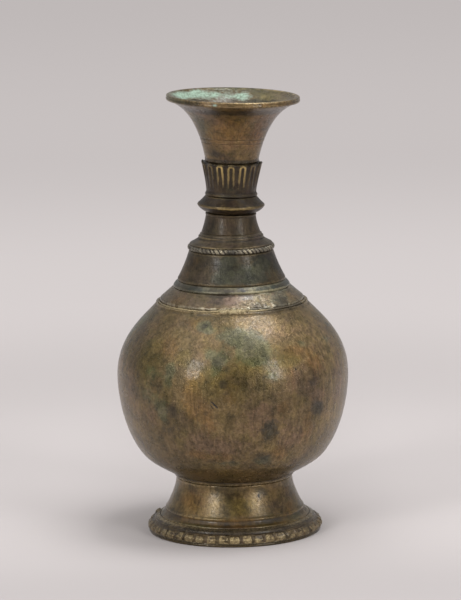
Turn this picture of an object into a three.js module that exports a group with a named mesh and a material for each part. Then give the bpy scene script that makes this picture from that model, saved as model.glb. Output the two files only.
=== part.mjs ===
import * as THREE from 'three';

// A bronze bottle vase in millimetres, z up, standing on the flat ring under its foot.
// It is a stack of turned sections: each one fits over, or into, the one below it.
// The front of the vase faces -y, and the top of the neck leans a little towards +x.

// Heights of the stacked sections, from one seat to the next
const footHeight = 28.0;
const bellyHeight = 89.0;
const capHeight = 7.4;
const ringHeight = 3.3;
const bellHeight = 15.3;
const flangeHeight = 8.6;
const coneHeight = 9.7;
const knopHeight = 8.3;
const collarHeight = 16.6;
const funnelHeight = 33.0;

// Lean of the upper neck: the cone starts to bend just above its seat
const lean = THREE.MathUtils.degToRad(1.8);
const bendStart = 0.4;

// Clearances of the sections in each other, and the small round on a turned edge
const fitGap = 0.3;
const leanGap = 0.3;
const edgeRound = 0.3;

// Foot: a hollow flared pedestal on a thin flange
const flangeEdgeRadius = 43.4;
const flangeEdgeHeight = 1.4;
const footOpeningRadius = 33.5;
const footOpeningHeight = 5.0;
const footHollowPull = 4.5;
const ridgeRadius = 34.9;
const ridgeHeight = 11.9;
const ridgeDrop = 0.5;
const ledgeRise = 1.0;
const footNeckRadius = 29.3;
const footNeckPull = 5.1;
const footSocketDepth = 6.0;

// Foot border: a strip with a row of tongues, laid on the flange
const borderBore = 37.9;
const borderWidth = 6.1;
const borderHeight = 6.9;
const borderFaceHeight = 2.5;
const borderSlopeWidth = 2.4;
const borderSlopeHeight = 2.1;
const borderCount = 45;
const borderRelief = 0.55;

// Belly: a squat round body on a thin seat band, with a spigot below
const bellyRadius = 58.05;
const equatorHeight = 52.0;
const bellyWall = 2.2;
const equatorPullUp = 19.0;
const equatorPullDown = 6.6;
const turnInset = 8.05;
const turnHeight = 18.2;
const turnPullOut = 6.8;
const turnPullUp = 12.3;
const turnPullIn = 5.1;
const turnPullDown = 9.2;
const seatPullOut = 10.9;
const seatPullUp = 6.3;
const mouthBore = 34.8;
const lipWidth = 2.7;
const lipEdgeHeight = 0.5;
const mouthPullOut = 7.0;
const mouthPullDown = 7.7;
const seatBandWidth = 3.5;
const seatBandHeight = 1.2;
const spigotRadius = 26.5;
const spigotDepth = 3.0;
const spigotRimWidth = 3.0;
const floorHeight = 0.4;
const floorDish = 1.0;
const footSolderWidth = 2.5;
const footSolderDepth = 2.6;

// Shoulder cap and the bead of solder around it
const skirtDepth = 3.0;
const skirtWall = 2.2;
const capSeatOverlap = 1.1;
const capRimHeight = 1.6;
const capWall = 2.4;
const capBulge = 0.05;
const tenonRadius = 24.8;
const tenonWall = 2.0;
const capTopWidth = 4.7;
const beadWidth = 1.6;
const beadHeight = 1.7;
const beadBulge = 0.1;

// Ring and bell of the lower neck
const ringWidth = 4.1;
const ringEdgeHeight = 0.9;
const ringTopWidth = 1.9;
const ringBulge = 0.2;
const bellRimWidth = 1.9;
const bellRimHeight = 0.9;
const bellSocketDepth = 2.0;
const bellBore = 18.2;
const bellWall = 2.8;
const bellSag = 0.65;
const bellThroatHeight = 12.0;

// Stepped flange and its notched band
const flangeSpigotDepth = 3.0;
const flangeSpigotWall = 2.4;
const bandSeatRadius = 19.4;
const bandHeight = 2.6;
const bandWidth = 2.15;
const bandCount = 56;
const bandNotch = 0.65;
const flangeLip = 1.4;
const slopeRise = 2.9;
const slopeBulge = 0.1;
const stepWidth = 0.75;
const stepHeight = 1.1;
const flangeTopWidth = 2.3;
const coneSocketRadius = 12.5;
const coneSocketDepth = 5.0;

// Neck cone
const coneRimWidth = 2.2;
const coneTenonDepth = 4.6;
const coneBeadRadius = 12.75;
const coneBeadHeight = 0.8;
const coneSag = 0.35;
const stemRadius = 10.9;
const stemWall = 1.9;
const coneTopTenon = 3.4;

// Knop and petal collar
const knopRimWidth = 1.2;
const knopWidth = 5.6;
const knopCrestHeight = 3.8;
const knopCrestBand = 0.8;
const knopSag = 0.25;
const knopTopWidth = 1.7;
const collarRimWidth = 1.5;
const collarBeadHeight = 1.3;
const collarBeadRelief = 0.45;
const collarTopWidth = 4.2;
const collarLedge = 0.5;
const collarSag = 0.45;
const petalCount = 15;
const petalRelief = 0.5;
const petalTipHeight = 1.5;
const petalTurn = THREE.MathUtils.degToRad(-1.1);

// Mouth funnel
const funnelBaseRadius = 13.5;
const funnelWaist = 1.9;
const funnelWall = 2.0;
const trumpetPullOut = 5.5;
const trumpetPullUp = 25.3;
const trumpetPullIn = 1.3;
const trumpetPullDown = 1.8;
const lipRadius = 33.4;
const lipHeight = 2.9;
const lipStep = 1.3;
const lipTopWidth = 2.4;
const lipBulge = 0.1;

// Numbers of flat sides around the plain sections
const wideSides = 48;
const slimSides = 32;

// Points along a curve with one or two handles, both ends included
function curve(corners, steps) {
  const points = corners.map(([r, z]) => new THREE.Vector2(r, z));
  const line = points.length === 3
    ? new THREE.QuadraticBezierCurve(...points)
    : new THREE.CubicBezierCurve(...points);
  return line.getPoints(steps).map((point) => [point.x, point.y]);
}

// Points from one corner up to another, bowed outwards by bulge at the middle, or inwards
// where bulge is negative
function bowed(low, high, bulge, steps) {
  const along = new THREE.Vector2(high[0] - low[0], high[1] - low[1]).normalize();
  const handle = [
    (low[0] + high[0]) / 2 + along.y * bulge * 2,
    (low[1] + high[1]) / 2 - along.x * bulge * 2,
  ];
  return curve([low, handle, high], steps);
}

// A line drawn up an outer surface, moved inwards by the thickness of the wall
function inset(line, wall) {
  return line.map(([r, z], i) => {
    const before = line[Math.max(i - 1, 0)];
    const after = line[Math.min(i + 1, line.length - 1)];
    const along = new THREE.Vector2(after[0] - before[0], after[1] - before[1]).normalize();
    return [r - along.y * wall, z + along.x * wall];
  });
}

// A turned solid from corners [radius, height], up the outside and down the inside.
// relief(turn, r, z) is how far the surface is cut back at a point, where turn is the angle
// from the front.
function turned(outline, sides, relief) {
  const closed = outline[0][0] > 0 ? [...outline, outline[0]] : outline;
  const points = closed.map(([r, z]) => new THREE.Vector2(r, z));
  const geometry = new THREE.LatheGeometry(points, sides).rotateX(Math.PI / 2);
  if (relief) {
    const place = geometry.getAttribute('position');
    for (let i = 0; i < place.count; i += 1) {
      const [x, y, z] = [place.getX(i), place.getY(i), place.getZ(i)];
      const r = Math.hypot(x, y);
      const scale = (r - relief(Math.atan2(x, -y), r, z)) / r;
      place.setXY(i, x * scale, y * scale);
    }
    geometry.computeVertexNormals();
  }
  return geometry;
}

// The column of a turn inside its own repeat: 0, 1 and so on, up to columns - 1
function column(turn, count, columns) {
  const position = Math.round((turn / (2 * Math.PI)) * count * columns);
  return ((position % columns) + columns) % columns;
}

// Foot: the outside rises by a hollow ledge, a ridge and a slim waist; the inside is open
function footPedestal() {
  const borderSeat = borderBore - fitGap;
  const borderTop = flangeEdgeHeight + borderHeight;
  const ledgeRadius = ridgeRadius + ridgeDrop;
  const socket = spigotRadius + fitGap;
  const socketEnd = footHeight - footSocketDepth;
  return turned([
    [footOpeningRadius, 0],
    [flangeEdgeRadius - edgeRound, 0],
    [flangeEdgeRadius, edgeRound],
    [flangeEdgeRadius, flangeEdgeHeight],
    [borderSeat, flangeEdgeHeight],
    [borderSeat, borderTop],
    ...curve([
      [borderSeat - edgeRound, borderTop + edgeRound],
      [ledgeRadius, borderTop + ledgeRise],
      [ridgeRadius, ridgeHeight - ridgeDrop],
    ], 3),
    [ridgeRadius, ridgeHeight],
    ...curve([
      [ridgeRadius - ridgeDrop, ridgeHeight + ridgeDrop],
      [footNeckRadius - edgeRound, footHeight - footNeckPull],
      [footNeckRadius, footHeight],
    ], 6),
    [socket, footHeight],
    [socket, socketEnd],
    ...curve([
      [socket + edgeRound, socketEnd - footHollowPull / 3],
      [footOpeningRadius - footHollowPull, socketEnd - footHollowPull],
      [footOpeningRadius, footOpeningHeight],
    ], 4),
  ], wideSides);
}

// Foot border: a ring with an upright face and a slope, cut by shallow gaps into tongues
function footBorder() {
  const edge = borderBore + borderWidth;
  const slopeTop = borderFaceHeight + borderSlopeHeight;
  const gaps = (turn, r, z) => {
    const isFace = r > edge - borderSlopeWidth - edgeRound && z > edgeRound;
    return isFace && column(turn, borderCount, 3) === 0 ? borderRelief : 0;
  };
  return turned([
    [borderBore, 0],
    [edge - edgeRound, 0],
    [edge, edgeRound * 2],
    [edge, borderFaceHeight],
    [edge - borderSlopeWidth, slopeTop],
    [borderBore + edgeRound * 2, borderHeight - edgeRound],
    [borderBore, borderHeight],
  ], borderCount * 3, gaps);
}

// Belly: the outside is drawn from the seat up, and the cavity follows it one wall inside
function belly() {
  const top = bellyHeight;
  const seatBand = spigotRadius + seatBandWidth;
  const seat = [seatBand + edgeRound, seatBandHeight + edgeRound * 2];
  const turn = [bellyRadius - turnInset, turnHeight];
  const equator = [bellyRadius, equatorHeight];
  const lip = mouthBore + lipWidth;
  const underside = curve([
    seat,
    [seat[0] + seatPullOut, seat[1] + seatPullUp],
    [turn[0] - turnPullIn, turn[1] - turnPullDown],
    turn,
  ], 4);
  const side = curve([
    turn,
    [turn[0] + turnPullOut, turn[1] + turnPullUp],
    [equator[0], equator[1] - equatorPullDown],
    equator,
  ], 3);
  const shoulder = curve([
    equator,
    [equator[0], equator[1] + equatorPullUp],
    [lip + mouthPullOut, top - lipEdgeHeight - mouthPullDown],
    [lip, top - lipEdgeHeight],
  ], 6);
  const wall = [...underside, ...side.slice(1), ...shoulder.slice(1)];
  const cavity = inset(wall, bellyWall).filter((corner, i) => i % 2 === 1 || i === wall.length - 1);
  return turned([
    [0, floorDish - spigotDepth],
    [spigotRadius - spigotRimWidth * 2, floorDish / 2 - spigotDepth],
    [spigotRadius - spigotRimWidth, -spigotDepth],
    [spigotRadius, -spigotDepth],
    [spigotRadius, 0],
    [seatBand - edgeRound, 0],
    [seatBand, edgeRound],
    [seatBand, seatBandHeight],
    [seatBand - edgeRound, seatBandHeight + edgeRound],
    ...wall,
    [lip, top],
    [mouthBore, top],
    [mouthBore, top - lipEdgeHeight * 2],
    ...cavity.reverse(),
    [spigotRadius + bellyWall, floorHeight + bellyWall * 1.5],
    [spigotRadius - edgeRound, floorHeight + bellyWall * 0.7],
    [spigotRadius - spigotRimWidth, floorHeight + edgeRound],
    [0, floorHeight],
  ], wideSides);
}

// Solder run into the corner under the belly's spigot, inside the foot
function footSolder() {
  return turned([
    [spigotRadius - edgeRound, -footSolderDepth],
    [spigotRadius, edgeRound - footSolderDepth],
    [spigotRadius, 0],
    [spigotRadius - footSolderWidth, 0],
    [spigotRadius - footSolderWidth * 0.7, -footSolderDepth / 2],
  ], slimSides);
}

// Shoulder cap: a skirt inside the belly's mouth, a sloping shoulder and a tenon above
function shoulderCap() {
  const skirt = mouthBore - fitGap;
  const rim = mouthBore + capSeatOverlap;
  const capTop = tenonRadius + capTopWidth;
  const tenonTop = capHeight + ringHeight + bellSocketDepth - fitGap;
  const ceiling = capHeight - capWall;
  return turned([
    [skirt, -skirtDepth],
    [skirt, 0],
    [rim, 0],
    ...bowed([rim, capRimHeight], [capTop, capHeight - edgeRound], capBulge, 3),
    [capTop - edgeRound, capHeight],
    [tenonRadius, capHeight],
    [tenonRadius, tenonTop],
    [tenonRadius - tenonWall, tenonTop],
    [tenonRadius - tenonWall, ceiling + edgeRound * 3],
    [tenonRadius - tenonWall + edgeRound * 3, ceiling],
    [capTop - capWall, ceiling],
    [skirt - skirtWall, edgeRound * 2],
    [skirt - skirtWall, -skirtDepth],
  ], wideSides);
}

// Solder bead on the lip of the belly, around the rim of the shoulder cap
function shoulderSolder() {
  const inner = mouthBore + capSeatOverlap + fitGap;
  const outer = inner + beadWidth;
  return turned([
    [inner, 0],
    [outer - edgeRound, 0],
    [outer, edgeRound],
    ...bowed([outer - edgeRound, beadHeight / 2], [inner + edgeRound, beadHeight], beadBulge, 2),
    [inner, beadHeight - edgeRound],
  ], wideSides);
}

// Shoulder ring: a low rounded band threaded over the cap's tenon
function shoulderRing() {
  const bore = tenonRadius + fitGap;
  const edge = bore + ringWidth;
  const slopeTop = bore + ringTopWidth + edgeRound;
  return turned([
    [bore, 0],
    [edge - edgeRound, 0],
    [edge, edgeRound],
    ...bowed([edge, ringEdgeHeight], [slopeTop, ringHeight - edgeRound], ringBulge, 3),
    [bore + ringTopWidth, ringHeight],
    [bore, ringHeight],
  ], wideSides);
}

// Neck bell: hollow, drawn in towards the top, with a socket for the cap's tenon
function neckBell() {
  const socket = tenonRadius + fitGap;
  const rim = socket + bellRimWidth;
  const bellTop = bellBore + bellWall;
  return turned([
    [socket, 0],
    [rim - edgeRound, 0],
    [rim, edgeRound],
    ...bowed([rim, bellRimHeight], [bellTop, bellHeight], -bellSag, 5),
    [bellBore, bellHeight],
    [bellBore, bellThroatHeight],
    [rim - bellWall * 2, bellSocketDepth + bellWall],
    [rim - bellWall - edgeRound * 3, bellSocketDepth],
    [socket, bellSocketDepth],
  ], slimSides);
}

// Stepped flange: a spigot in the bell, a seat for the band, a round slope and two steps
function steppedFlange() {
  const spigot = bellBore - fitGap;
  const throat = spigot - flangeSpigotWall;
  const lip = bandSeatRadius + flangeLip;
  const top = coneSocketRadius + flangeTopWidth;
  const step = top + stepWidth * 2;
  const stepTop = (count) => flangeHeight - edgeRound - stepHeight * count;
  const slopeTop = bandHeight + slopeRise;
  return turned([
    [spigot, -flangeSpigotDepth],
    [spigot, 0],
    [bandSeatRadius, 0],
    [bandSeatRadius, bandHeight],
    [lip, bandHeight],
    ...bowed([lip, bandHeight + edgeRound], [step + edgeRound, slopeTop], slopeBulge, 4),
    [step, stepTop(2) + edgeRound],
    [step, stepTop(1) - edgeRound],
    [top + stepWidth, stepTop(1)],
    [top + stepWidth, stepTop(0) - edgeRound],
    [top, stepTop(0)],
    [top, flangeHeight],
    [coneSocketRadius, flangeHeight],
    [coneSocketRadius, flangeHeight - coneSocketDepth],
    [throat, edgeRound * 2],
    [throat, -flangeSpigotDepth],
  ], slimSides);
}

// Notched band: a rounded ring under the flange, cut across all the way round
function notchedBand() {
  const bore = bandSeatRadius + fitGap;
  const crest = bore + bandWidth;
  const notches = (turn, r) => (
    r > crest - bandWidth / 2 && column(turn, bandCount, 2) === 0 ? bandNotch : 0
  );
  return turned([
    [bore, 0],
    [crest - edgeRound * 3, 0],
    [crest - edgeRound, bandHeight * 0.2],
    [crest, bandHeight * 0.5],
    [crest - edgeRound, bandHeight * 0.75],
    [crest - edgeRound * 3.5, bandHeight],
    [bore, bandHeight],
  ], bandCount * 2, notches);
}

// Centre line of the neck cone, measured along its length from the seat
function neckAxis(length) {
  const steps = 48;
  const tiltAt = (s) => lean * THREE.MathUtils.smoothstep(s, bendStart, coneHeight);
  const axis = { x: 0, z: 0, tilt: tiltAt(length) };
  for (let i = 0; i < steps; i += 1) {
    const tilt = tiltAt(((i + 0.5) / steps) * length);
    axis.x += (Math.sin(tilt) * length) / steps;
    axis.z += (Math.cos(tilt) * length) / steps;
  }
  return axis;
}

// Neck cone: a tapering tube with a fine bead at its top, bent over to the lean
function neckCone() {
  const foot = coneSocketRadius - fitGap;
  const rim = coneSocketRadius + coneRimWidth;
  const bore = stemRadius - stemWall;
  const beadFoot = coneHeight - coneBeadHeight;
  const geometry = turned([
    [foot, -coneTenonDepth],
    [foot, 0],
    ...bowed([rim, 0], [coneBeadRadius - edgeRound, beadFoot - edgeRound], -coneSag, 3),
    [coneBeadRadius, beadFoot],
    [coneBeadRadius, coneHeight - edgeRound],
    [coneBeadRadius - edgeRound, coneHeight],
    [stemRadius, coneHeight],
    [stemRadius, coneHeight + coneTopTenon],
    [bore, coneHeight + coneTopTenon],
    [bore, coneHeight / 2],
    [bore, -coneTenonDepth],
  ], slimSides);
  const place = geometry.getAttribute('position');
  for (let i = 0; i < place.count; i += 1) {
    const x = place.getX(i);
    const axis = neckAxis(place.getZ(i));
    place.setX(i, axis.x + x * Math.cos(axis.tilt));
    place.setZ(i, axis.z - x * Math.sin(axis.tilt));
  }
  geometry.computeVertexNormals();
  return geometry;
}

// Knop: a ring with a sharp crest, hollowed slightly above and below it
function knop() {
  const bore = stemRadius + fitGap;
  const rim = bore + knopRimWidth;
  const crest = bore + knopWidth;
  const top = bore + knopTopWidth;
  const crestFoot = knopCrestHeight - knopCrestBand / 2;
  const crestTop = knopCrestHeight + knopCrestBand / 2;
  return turned([
    [bore, 0],
    [rim, 0],
    ...bowed([rim + edgeRound, edgeRound], [crest, crestFoot], knopSag, 3),
    ...bowed([crest, crestTop], [top + edgeRound, knopHeight - edgeRound], knopSag / 2, 3),
    [top, knopHeight],
    [bore, knopHeight],
  ], slimSides);
}

// Petal collar: a flaring sleeve with tall arches; each arch is two ribs joined at the tip
function petalCollar() {
  const bore = stemRadius + fitGap;
  const rim = bore + collarRimWidth;
  const top = bore + collarTopWidth;
  const shoulder = collarHeight - collarLedge;
  const arches = (turn, r, z) => {
    const isWall = z > collarBeadHeight + edgeRound && z < shoulder - edgeRound / 2;
    if (!isWall || r < rim - edgeRound) return 0;
    const place = column(turn, petalCount, 6);
    const isRib = place === 1 || place === 5;
    const isTip = place === 0 && z > shoulder - petalTipHeight;
    return isRib || isTip ? 0 : petalRelief;
  };
  return turned([
    [bore, 0],
    [rim + edgeRound, 0],
    [rim + collarBeadRelief, collarBeadHeight / 3],
    [rim + edgeRound, collarBeadHeight * 0.7],
    ...bowed([rim, collarBeadHeight], [top - edgeRound, shoulder - edgeRound], -collarSag, 5),
    [top, shoulder],
    [funnelBaseRadius + edgeRound, collarHeight],
    [bore, collarHeight],
  ], petalCount * 6, arches);
}

// Mouth funnel: a stem through the collar and knop, opening into a wide trumpet and lip
function mouthFunnel() {
  const stemEnd = coneTopTenon - leanGap - knopHeight - collarHeight - leanGap;
  const lipBase = funnelHeight - lipHeight;
  const lipMiddle = lipBase + lipHeight * 0.4;
  const lipTop = funnelHeight - edgeRound;
  const lipRoot = lipRadius - lipStep - funnelWall * 0.4;
  const bore = stemRadius - stemWall;
  const trumpet = curve([
    [funnelBaseRadius, funnelWaist],
    [funnelBaseRadius + trumpetPullOut, funnelWaist + trumpetPullUp],
    [lipRoot - trumpetPullIn, lipBase - trumpetPullDown],
    [lipRoot, lipBase],
  ], 9);
  return turned([
    [stemRadius, stemEnd],
    [stemRadius, 0],
    [funnelBaseRadius - edgeRound, 0],
    ...trumpet,
    [lipRadius - edgeRound * 3, lipBase + edgeRound],
    ...bowed([lipRadius, lipMiddle], [lipRadius - edgeRound * 2, lipTop], lipBulge, 2),
    [lipRadius - lipTopWidth / 2, funnelHeight],
    [lipRadius - lipTopWidth, lipTop],
    ...inset(trumpet, funnelWall).reverse(),
    [bore, -edgeRound],
    [bore, stemEnd],
  ], slimSides);
}

// Finishes, as [colour, roughness, metalness]
const finishes = {
  goldenBronze: [0x86693f, 0.42, 0.9],
  darkBronze: [0x5c4d37, 0.48, 0.85],
  wornBrass: [0x9c8354, 0.38, 0.95],
  solder: [0x837c6a, 0.6, 0.7],
};

// One named section, set down at its seat
function section(name, geometry, finish, seat) {
  const [color, roughness, metalness] = finishes[finish];
  const material = new THREE.MeshStandardMaterial({ color, roughness, metalness });
  const mesh = new THREE.Mesh(geometry, material);
  mesh.name = name;
  mesh.position.z = seat;
  return mesh;
}

// Seats of the upright sections
const bellySeat = footHeight;
const capSeat = bellySeat + bellyHeight;
const ringSeat = capSeat + capHeight;
const bellSeat = ringSeat + ringHeight;
const flangeSeat = bellSeat + bellHeight;
const coneSeat = flangeSeat + flangeHeight;

const vase = new THREE.Group();
vase.add(
  section('foot_pedestal', footPedestal(), 'goldenBronze', 0),
  section('foot_border', footBorder(), 'wornBrass', flangeEdgeHeight),
  section('foot_solder', footSolder(), 'solder', bellySeat - spigotDepth),
  section('belly', belly(), 'goldenBronze', bellySeat),
  section('shoulder_cap', shoulderCap(), 'goldenBronze', capSeat),
  section('shoulder_solder', shoulderSolder(), 'solder', capSeat),
  section('shoulder_ring', shoulderRing(), 'darkBronze', ringSeat),
  section('neck_bell', neckBell(), 'darkBronze', bellSeat),
  section('stepped_flange', steppedFlange(), 'darkBronze', flangeSeat),
  section('notched_band', notchedBand(), 'wornBrass', flangeSeat),
  section('neck_cone', neckCone(), 'darkBronze', coneSeat),
);

// The three leaning sections share one turned group at the top of the bent cone
const coneEnd = neckAxis(coneHeight);
const leaning = new THREE.Group();
leaning.position.set(coneEnd.x, 0, coneSeat + coneEnd.z);
leaning.rotation.y = lean;
const collarSeat = leanGap + knopHeight + leanGap;
const collar = section('petal_collar', petalCollar(), 'darkBronze', collarSeat);
collar.rotation.z = petalTurn;
leaning.add(
  section('knop', knop(), 'darkBronze', leanGap),
  collar,
  section('mouth_funnel', mouthFunnel(), 'goldenBronze', collarSeat + collarHeight + leanGap),
);
vase.add(leaning);

export default vase;
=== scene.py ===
# %% [markdown]
# # A bronze bottle vase, dressed over its CAD frame
# The vase is a stack of cast and turned sections, fitted into each other and soldered. The
# frame holds them as plain solids. Here each section gets a finer surface in the same place,
# with its relief, its uneven hand-made shape and its patina.

# %% Load the frame
import math

import bmesh
import bpy
import numpy as np
from mathutils import Matrix


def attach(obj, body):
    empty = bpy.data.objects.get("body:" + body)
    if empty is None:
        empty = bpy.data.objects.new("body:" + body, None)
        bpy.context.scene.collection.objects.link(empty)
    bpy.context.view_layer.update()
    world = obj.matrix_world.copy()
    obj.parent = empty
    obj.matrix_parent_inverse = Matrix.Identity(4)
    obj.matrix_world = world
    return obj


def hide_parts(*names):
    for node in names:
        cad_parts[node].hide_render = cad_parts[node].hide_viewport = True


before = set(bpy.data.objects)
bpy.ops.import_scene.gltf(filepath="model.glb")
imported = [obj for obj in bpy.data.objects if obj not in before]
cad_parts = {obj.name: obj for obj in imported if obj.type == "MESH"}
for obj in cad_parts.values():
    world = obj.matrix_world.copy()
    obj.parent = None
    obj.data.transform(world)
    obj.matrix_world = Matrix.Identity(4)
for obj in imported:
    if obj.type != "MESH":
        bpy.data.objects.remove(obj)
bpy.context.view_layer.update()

# %% [markdown]
# ## Lines and outlines
# A turned section is known by its outline: radius and height along its outer and inner skin.
# Straight runs are given as corners. On real metal every corner is a little round, so each
# one is softened into a short arc. Long swells are Bezier curves. All lengths are in
# millimetres until the mesh is made.

# %% Curves, soft corners and even steps
MM = 0.001


def swell(corners, steps=24):
    """A Bezier curve: each point is the sum of the corners times their Bernstein weights."""
    t = np.linspace(0, 1, steps)[:, None]
    top = len(corners) - 1
    weights = [math.comb(top, k) * t**k * (1 - t) ** (top - k) for k in range(top + 1)]
    return sum(w * np.asarray(c, float) for w, c in zip(weights, corners))


def soften(corners, reach=0.3):
    """A line through corners in which each inner corner becomes an arc. The arc leaves the
    line at reach before the corner, or at a third of a shorter side, and joins it as far after."""
    c = np.asarray(corners, float)
    side = np.diff(c, axis=0)
    length = np.hypot(*side.T)[:, None]
    cut = np.minimum(reach, length / 3) * side / length
    arcs = [swell([c[i] - cut[i - 1], c[i], c[i] + cut[i]], 5) for i in range(1, len(c) - 1)]
    return np.vstack([c[:1], *arcs, c[-1:]])


def paced(line, step):
    """The same line with points at even steps, read off its running length."""
    run = np.concatenate([[0], np.cumsum(np.hypot(*np.diff(line, axis=0).T))])
    at = np.linspace(0, run[-1], max(2, round(run[-1] / step) + 1))
    return np.stack([np.interp(at, run, line[:, 0]), np.interp(at, run, line[:, 1])], 1)


def joined(*lines):
    """Lines one after the other, without the points that fall on the one before."""
    line = np.vstack(lines)
    gap = np.hypot(*(line - np.roll(line, 1, axis=0)).T)
    return line[gap > 0.01]


print("a soft corner has", len(soften([(1, 0), (1, 1), (0, 1)])), "points")

# %% [markdown]
# ## An uneven, hand-made wall
# No section is truly round. A few slow waves run round the vase and up it, and every section
# takes its shift from the same waves, so that neighbours still meet. The shift is only ever
# inwards, which keeps the vase inside the size of its frame.

# %% Slow waves in the wall
WAVE_DEPTH, WIDEST = 0.3, 58.05
wave_rng = np.random.default_rng(7)
WAVES = [(k, wave_rng.uniform(-0.09, 0.09), wave_rng.uniform(0, 6.28)) for k in (2, 3, 3, 4, 5, 7)]


def uneven(turn, r, z):
    """Minus the depth times the radius over the widest radius, times the mean of the waves
    sin(k * turn + a * z + phase), moved so that it lies between 0 and 1."""
    mean = sum(np.sin(k * turn + a * z + p) for k, a, p in WAVES) / len(WAVES)
    return -WAVE_DEPTH * (r / WIDEST) * (0.5 + 0.5 * mean)


# %% [markdown]
# ## From an outline to a surface
# The surface is a grid: rows follow the outline, columns go round the axis. A relief, such as
# a row of tongues, is a distance along the surface's normal, given as a function of the angle
# and the height. Turn 0 is the front, and it grows towards +x.

# %% The grid of a turned section
def turned(outline, columns, relief=None, reach=0.7, full=0.2):
    """radius = outline radius + relief * the normal's radial part + the wall's wave, and height
    likewise, at each angle. The normal is the outline's direction turned a quarter right. The
    reach is how far the wear looks round each point for what stands out, and full is how far
    a point has to stand out to count as fully proud."""
    turn = np.linspace(-np.pi, np.pi, columns, endpoint=False)[None, :]
    r, z = outline[:, :1], outline[:, 1:]
    looped = bool(r[0, 0] > 0.01)
    ahead = np.gradient(outline, axis=0)
    if looped:
        ahead = np.roll(outline, -1, axis=0) - np.roll(outline, 1, axis=0)
    ahead = ahead / np.maximum(np.hypot(*ahead.T)[:, None], 1e-9)
    out_r, out_z = ahead[:, 1:], -ahead[:, :1]
    lift = relief(turn, r, z) if relief else np.zeros((len(r), columns))
    print("a section of", len(r), "rows and", columns, "columns")
    steps = np.hypot(*np.diff(outline, axis=0, prepend=outline[:1]).T)
    return {
        "turn": turn + np.zeros_like(r),
        "r": r + lift * out_r + uneven(turn, r, z),
        "z": z + lift * out_z,
        "out_r": out_r, "out_z": out_z, "run": np.cumsum(steps), "closed": looped,
        "reach": reach, "full": full,
    }


def skin(outside, inside, fine, coarse):
    """A closed outline: the outside at fine steps, then the hidden inside at coarse ones. A
    section without an inside of its own closes along the straight line from end to start."""
    return joined(paced(outside, fine), paced(outside[[-1, 0]] if inside is None else inside, coarse))


def closed(corners, reach):
    """The corners in a loop. Each of them but the first is softened."""
    return soften([*corners, corners[0]], reach)[:-1]


# %% [markdown]
# ## What stands out wears bright, what lies deep gathers dirt
# A smoothed copy of the grid lies inside the edges and outside the grooves. The distance from
# it, along the normal, says where the metal is rubbed and where grime collects. It is kept on
# the mesh as a value that the finishes read.

# %% Smooth a grid, and measure what stands out
def smoothed(values, looped, rows, columns):
    """Each value becomes the mean of a window of rows and columns, twice for a soft edge."""
    for _ in range(2):
        values = sum(np.roll(values, k, axis=1) for k in range(-columns, columns + 1))
        ends = "wrap" if looped else "edge"
        padded = np.pad(values, ((rows, rows), (0, 0)), mode=ends)
        values = sum(padded[k:k + len(values)] for k in range(2 * rows + 1))
        values = values / ((2 * rows + 1) * (2 * columns + 1))
    return values


def stand_out(form):
    """Distance of the surface from its smoothed copy along the normal, as a part of full."""
    step = np.median(np.diff(form["run"]))
    around = 2 * np.pi * np.median(form["r"]) / form["r"].shape[1]
    window = [max(1, round(form["reach"] / step)), max(1, round(form["reach"] / around))]
    r, z = [smoothed(form[k], form["closed"], *window) for k in ("r", "z")]
    proud = (form["r"] - r) * form["out_r"] + (form["z"] - z) * form["out_z"]
    return np.clip(proud / form["full"], -1, 1)


print("a level grid stays level:", bool(np.allclose(smoothed(np.ones((5, 5)), True, 1, 1), 1)))

# %% [markdown]
# ## The lean of the neck
# Above the stepped flange the neck bends over by 1.8 degrees. The tilt grows smoothly along
# the cone and stays the same above it, and the centre line is the sum of that tilt.

# %% Bend the upper neck over
CONE_SEAT, CONE_HEIGHT, BEND_START = 151.6, 9.7, 0.4
LEAN = math.radians(1.8)


def leant(x, y, z):
    """tilt = lean * (3t^2 - 2t^3), where t runs from 0 to 1 along the cone. The centre moves
    by its integral, lean * length * (t^3 - t^4 / 2), and beyond along the leaning axis."""
    span = CONE_HEIGHT - BEND_START
    along = z - CONE_SEAT - BEND_START
    t = np.clip(along / span, 0, 1)
    tilt = LEAN * (3 * t**2 - 2 * t**3)
    beyond = np.maximum(along - span, 0)
    centre = LEAN * span * (t**3 - t**4 / 2) + beyond * math.sin(LEAN)
    height = z - beyond * (1 - math.cos(LEAN))
    return centre + x * np.cos(tilt), y, height - x * np.sin(tilt)


print("the rim's centre moves", round(float(leant(0, 0, 220.1)[0]), 2), "mm to the side")

# %% [markdown]
# ## Stains
# Green, dark, rubbed and crusted places are soft round patches, given by where they lie, and so are
# painted highlights and painted shade. The finishes break their edges up later. Beside the few that the
# front shows, every side gets its own seeded scatter, so the vase looks the same age all round.

# %% Soft patches on a section
# Beside real stains, the kind for rubbed places also holds painted highlights, and the kind for dark
# stains also holds painted shade.
STAINS = ("green", "plum", "ember", "olive", "dark", "bright", "crust", "polish")


def hump(away, half, power=2):
    """exp(-(away / half)^power): 1 in the middle, and nearly 0 at twice the half width."""
    return np.exp(-((away / half) ** power))


def apart(turn, at):
    """The angle from one place to the other, the short way round."""
    return np.angle(np.exp(1j * (turn - at)))


def patches(form, rows):
    """The sum of hump(across, half width) * hump(up, half height) * strength, where across is
    the angle from the patch times the radius."""
    return sum((strength * hump(apart(form["turn"], math.radians(turn)) * form["r"], half_width)
                * hump(form["z"] - height, half_height)
                for turn, height, half_width, half_height, strength in rows),
               np.zeros_like(form["r"]))


def scatter(seed, count, turns, heights, sizes, strengths):
    """Seeded patches, spread evenly over the ranges that are given."""
    rng = np.random.default_rng(seed)
    turn, height = rng.uniform(*turns, count), rng.uniform(*heights, count)
    size, strength = rng.uniform(*sizes, count), rng.uniform(*strengths, count)
    return list(zip(turn, height, size, size * rng.uniform(0.5, 1.0, count), strength))


def belt(turns, *patch):
    """The same patch at each of the angles."""
    return [(turn, *patch) for turn in turns]


print("kinds of stain:", STAINS)

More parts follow.
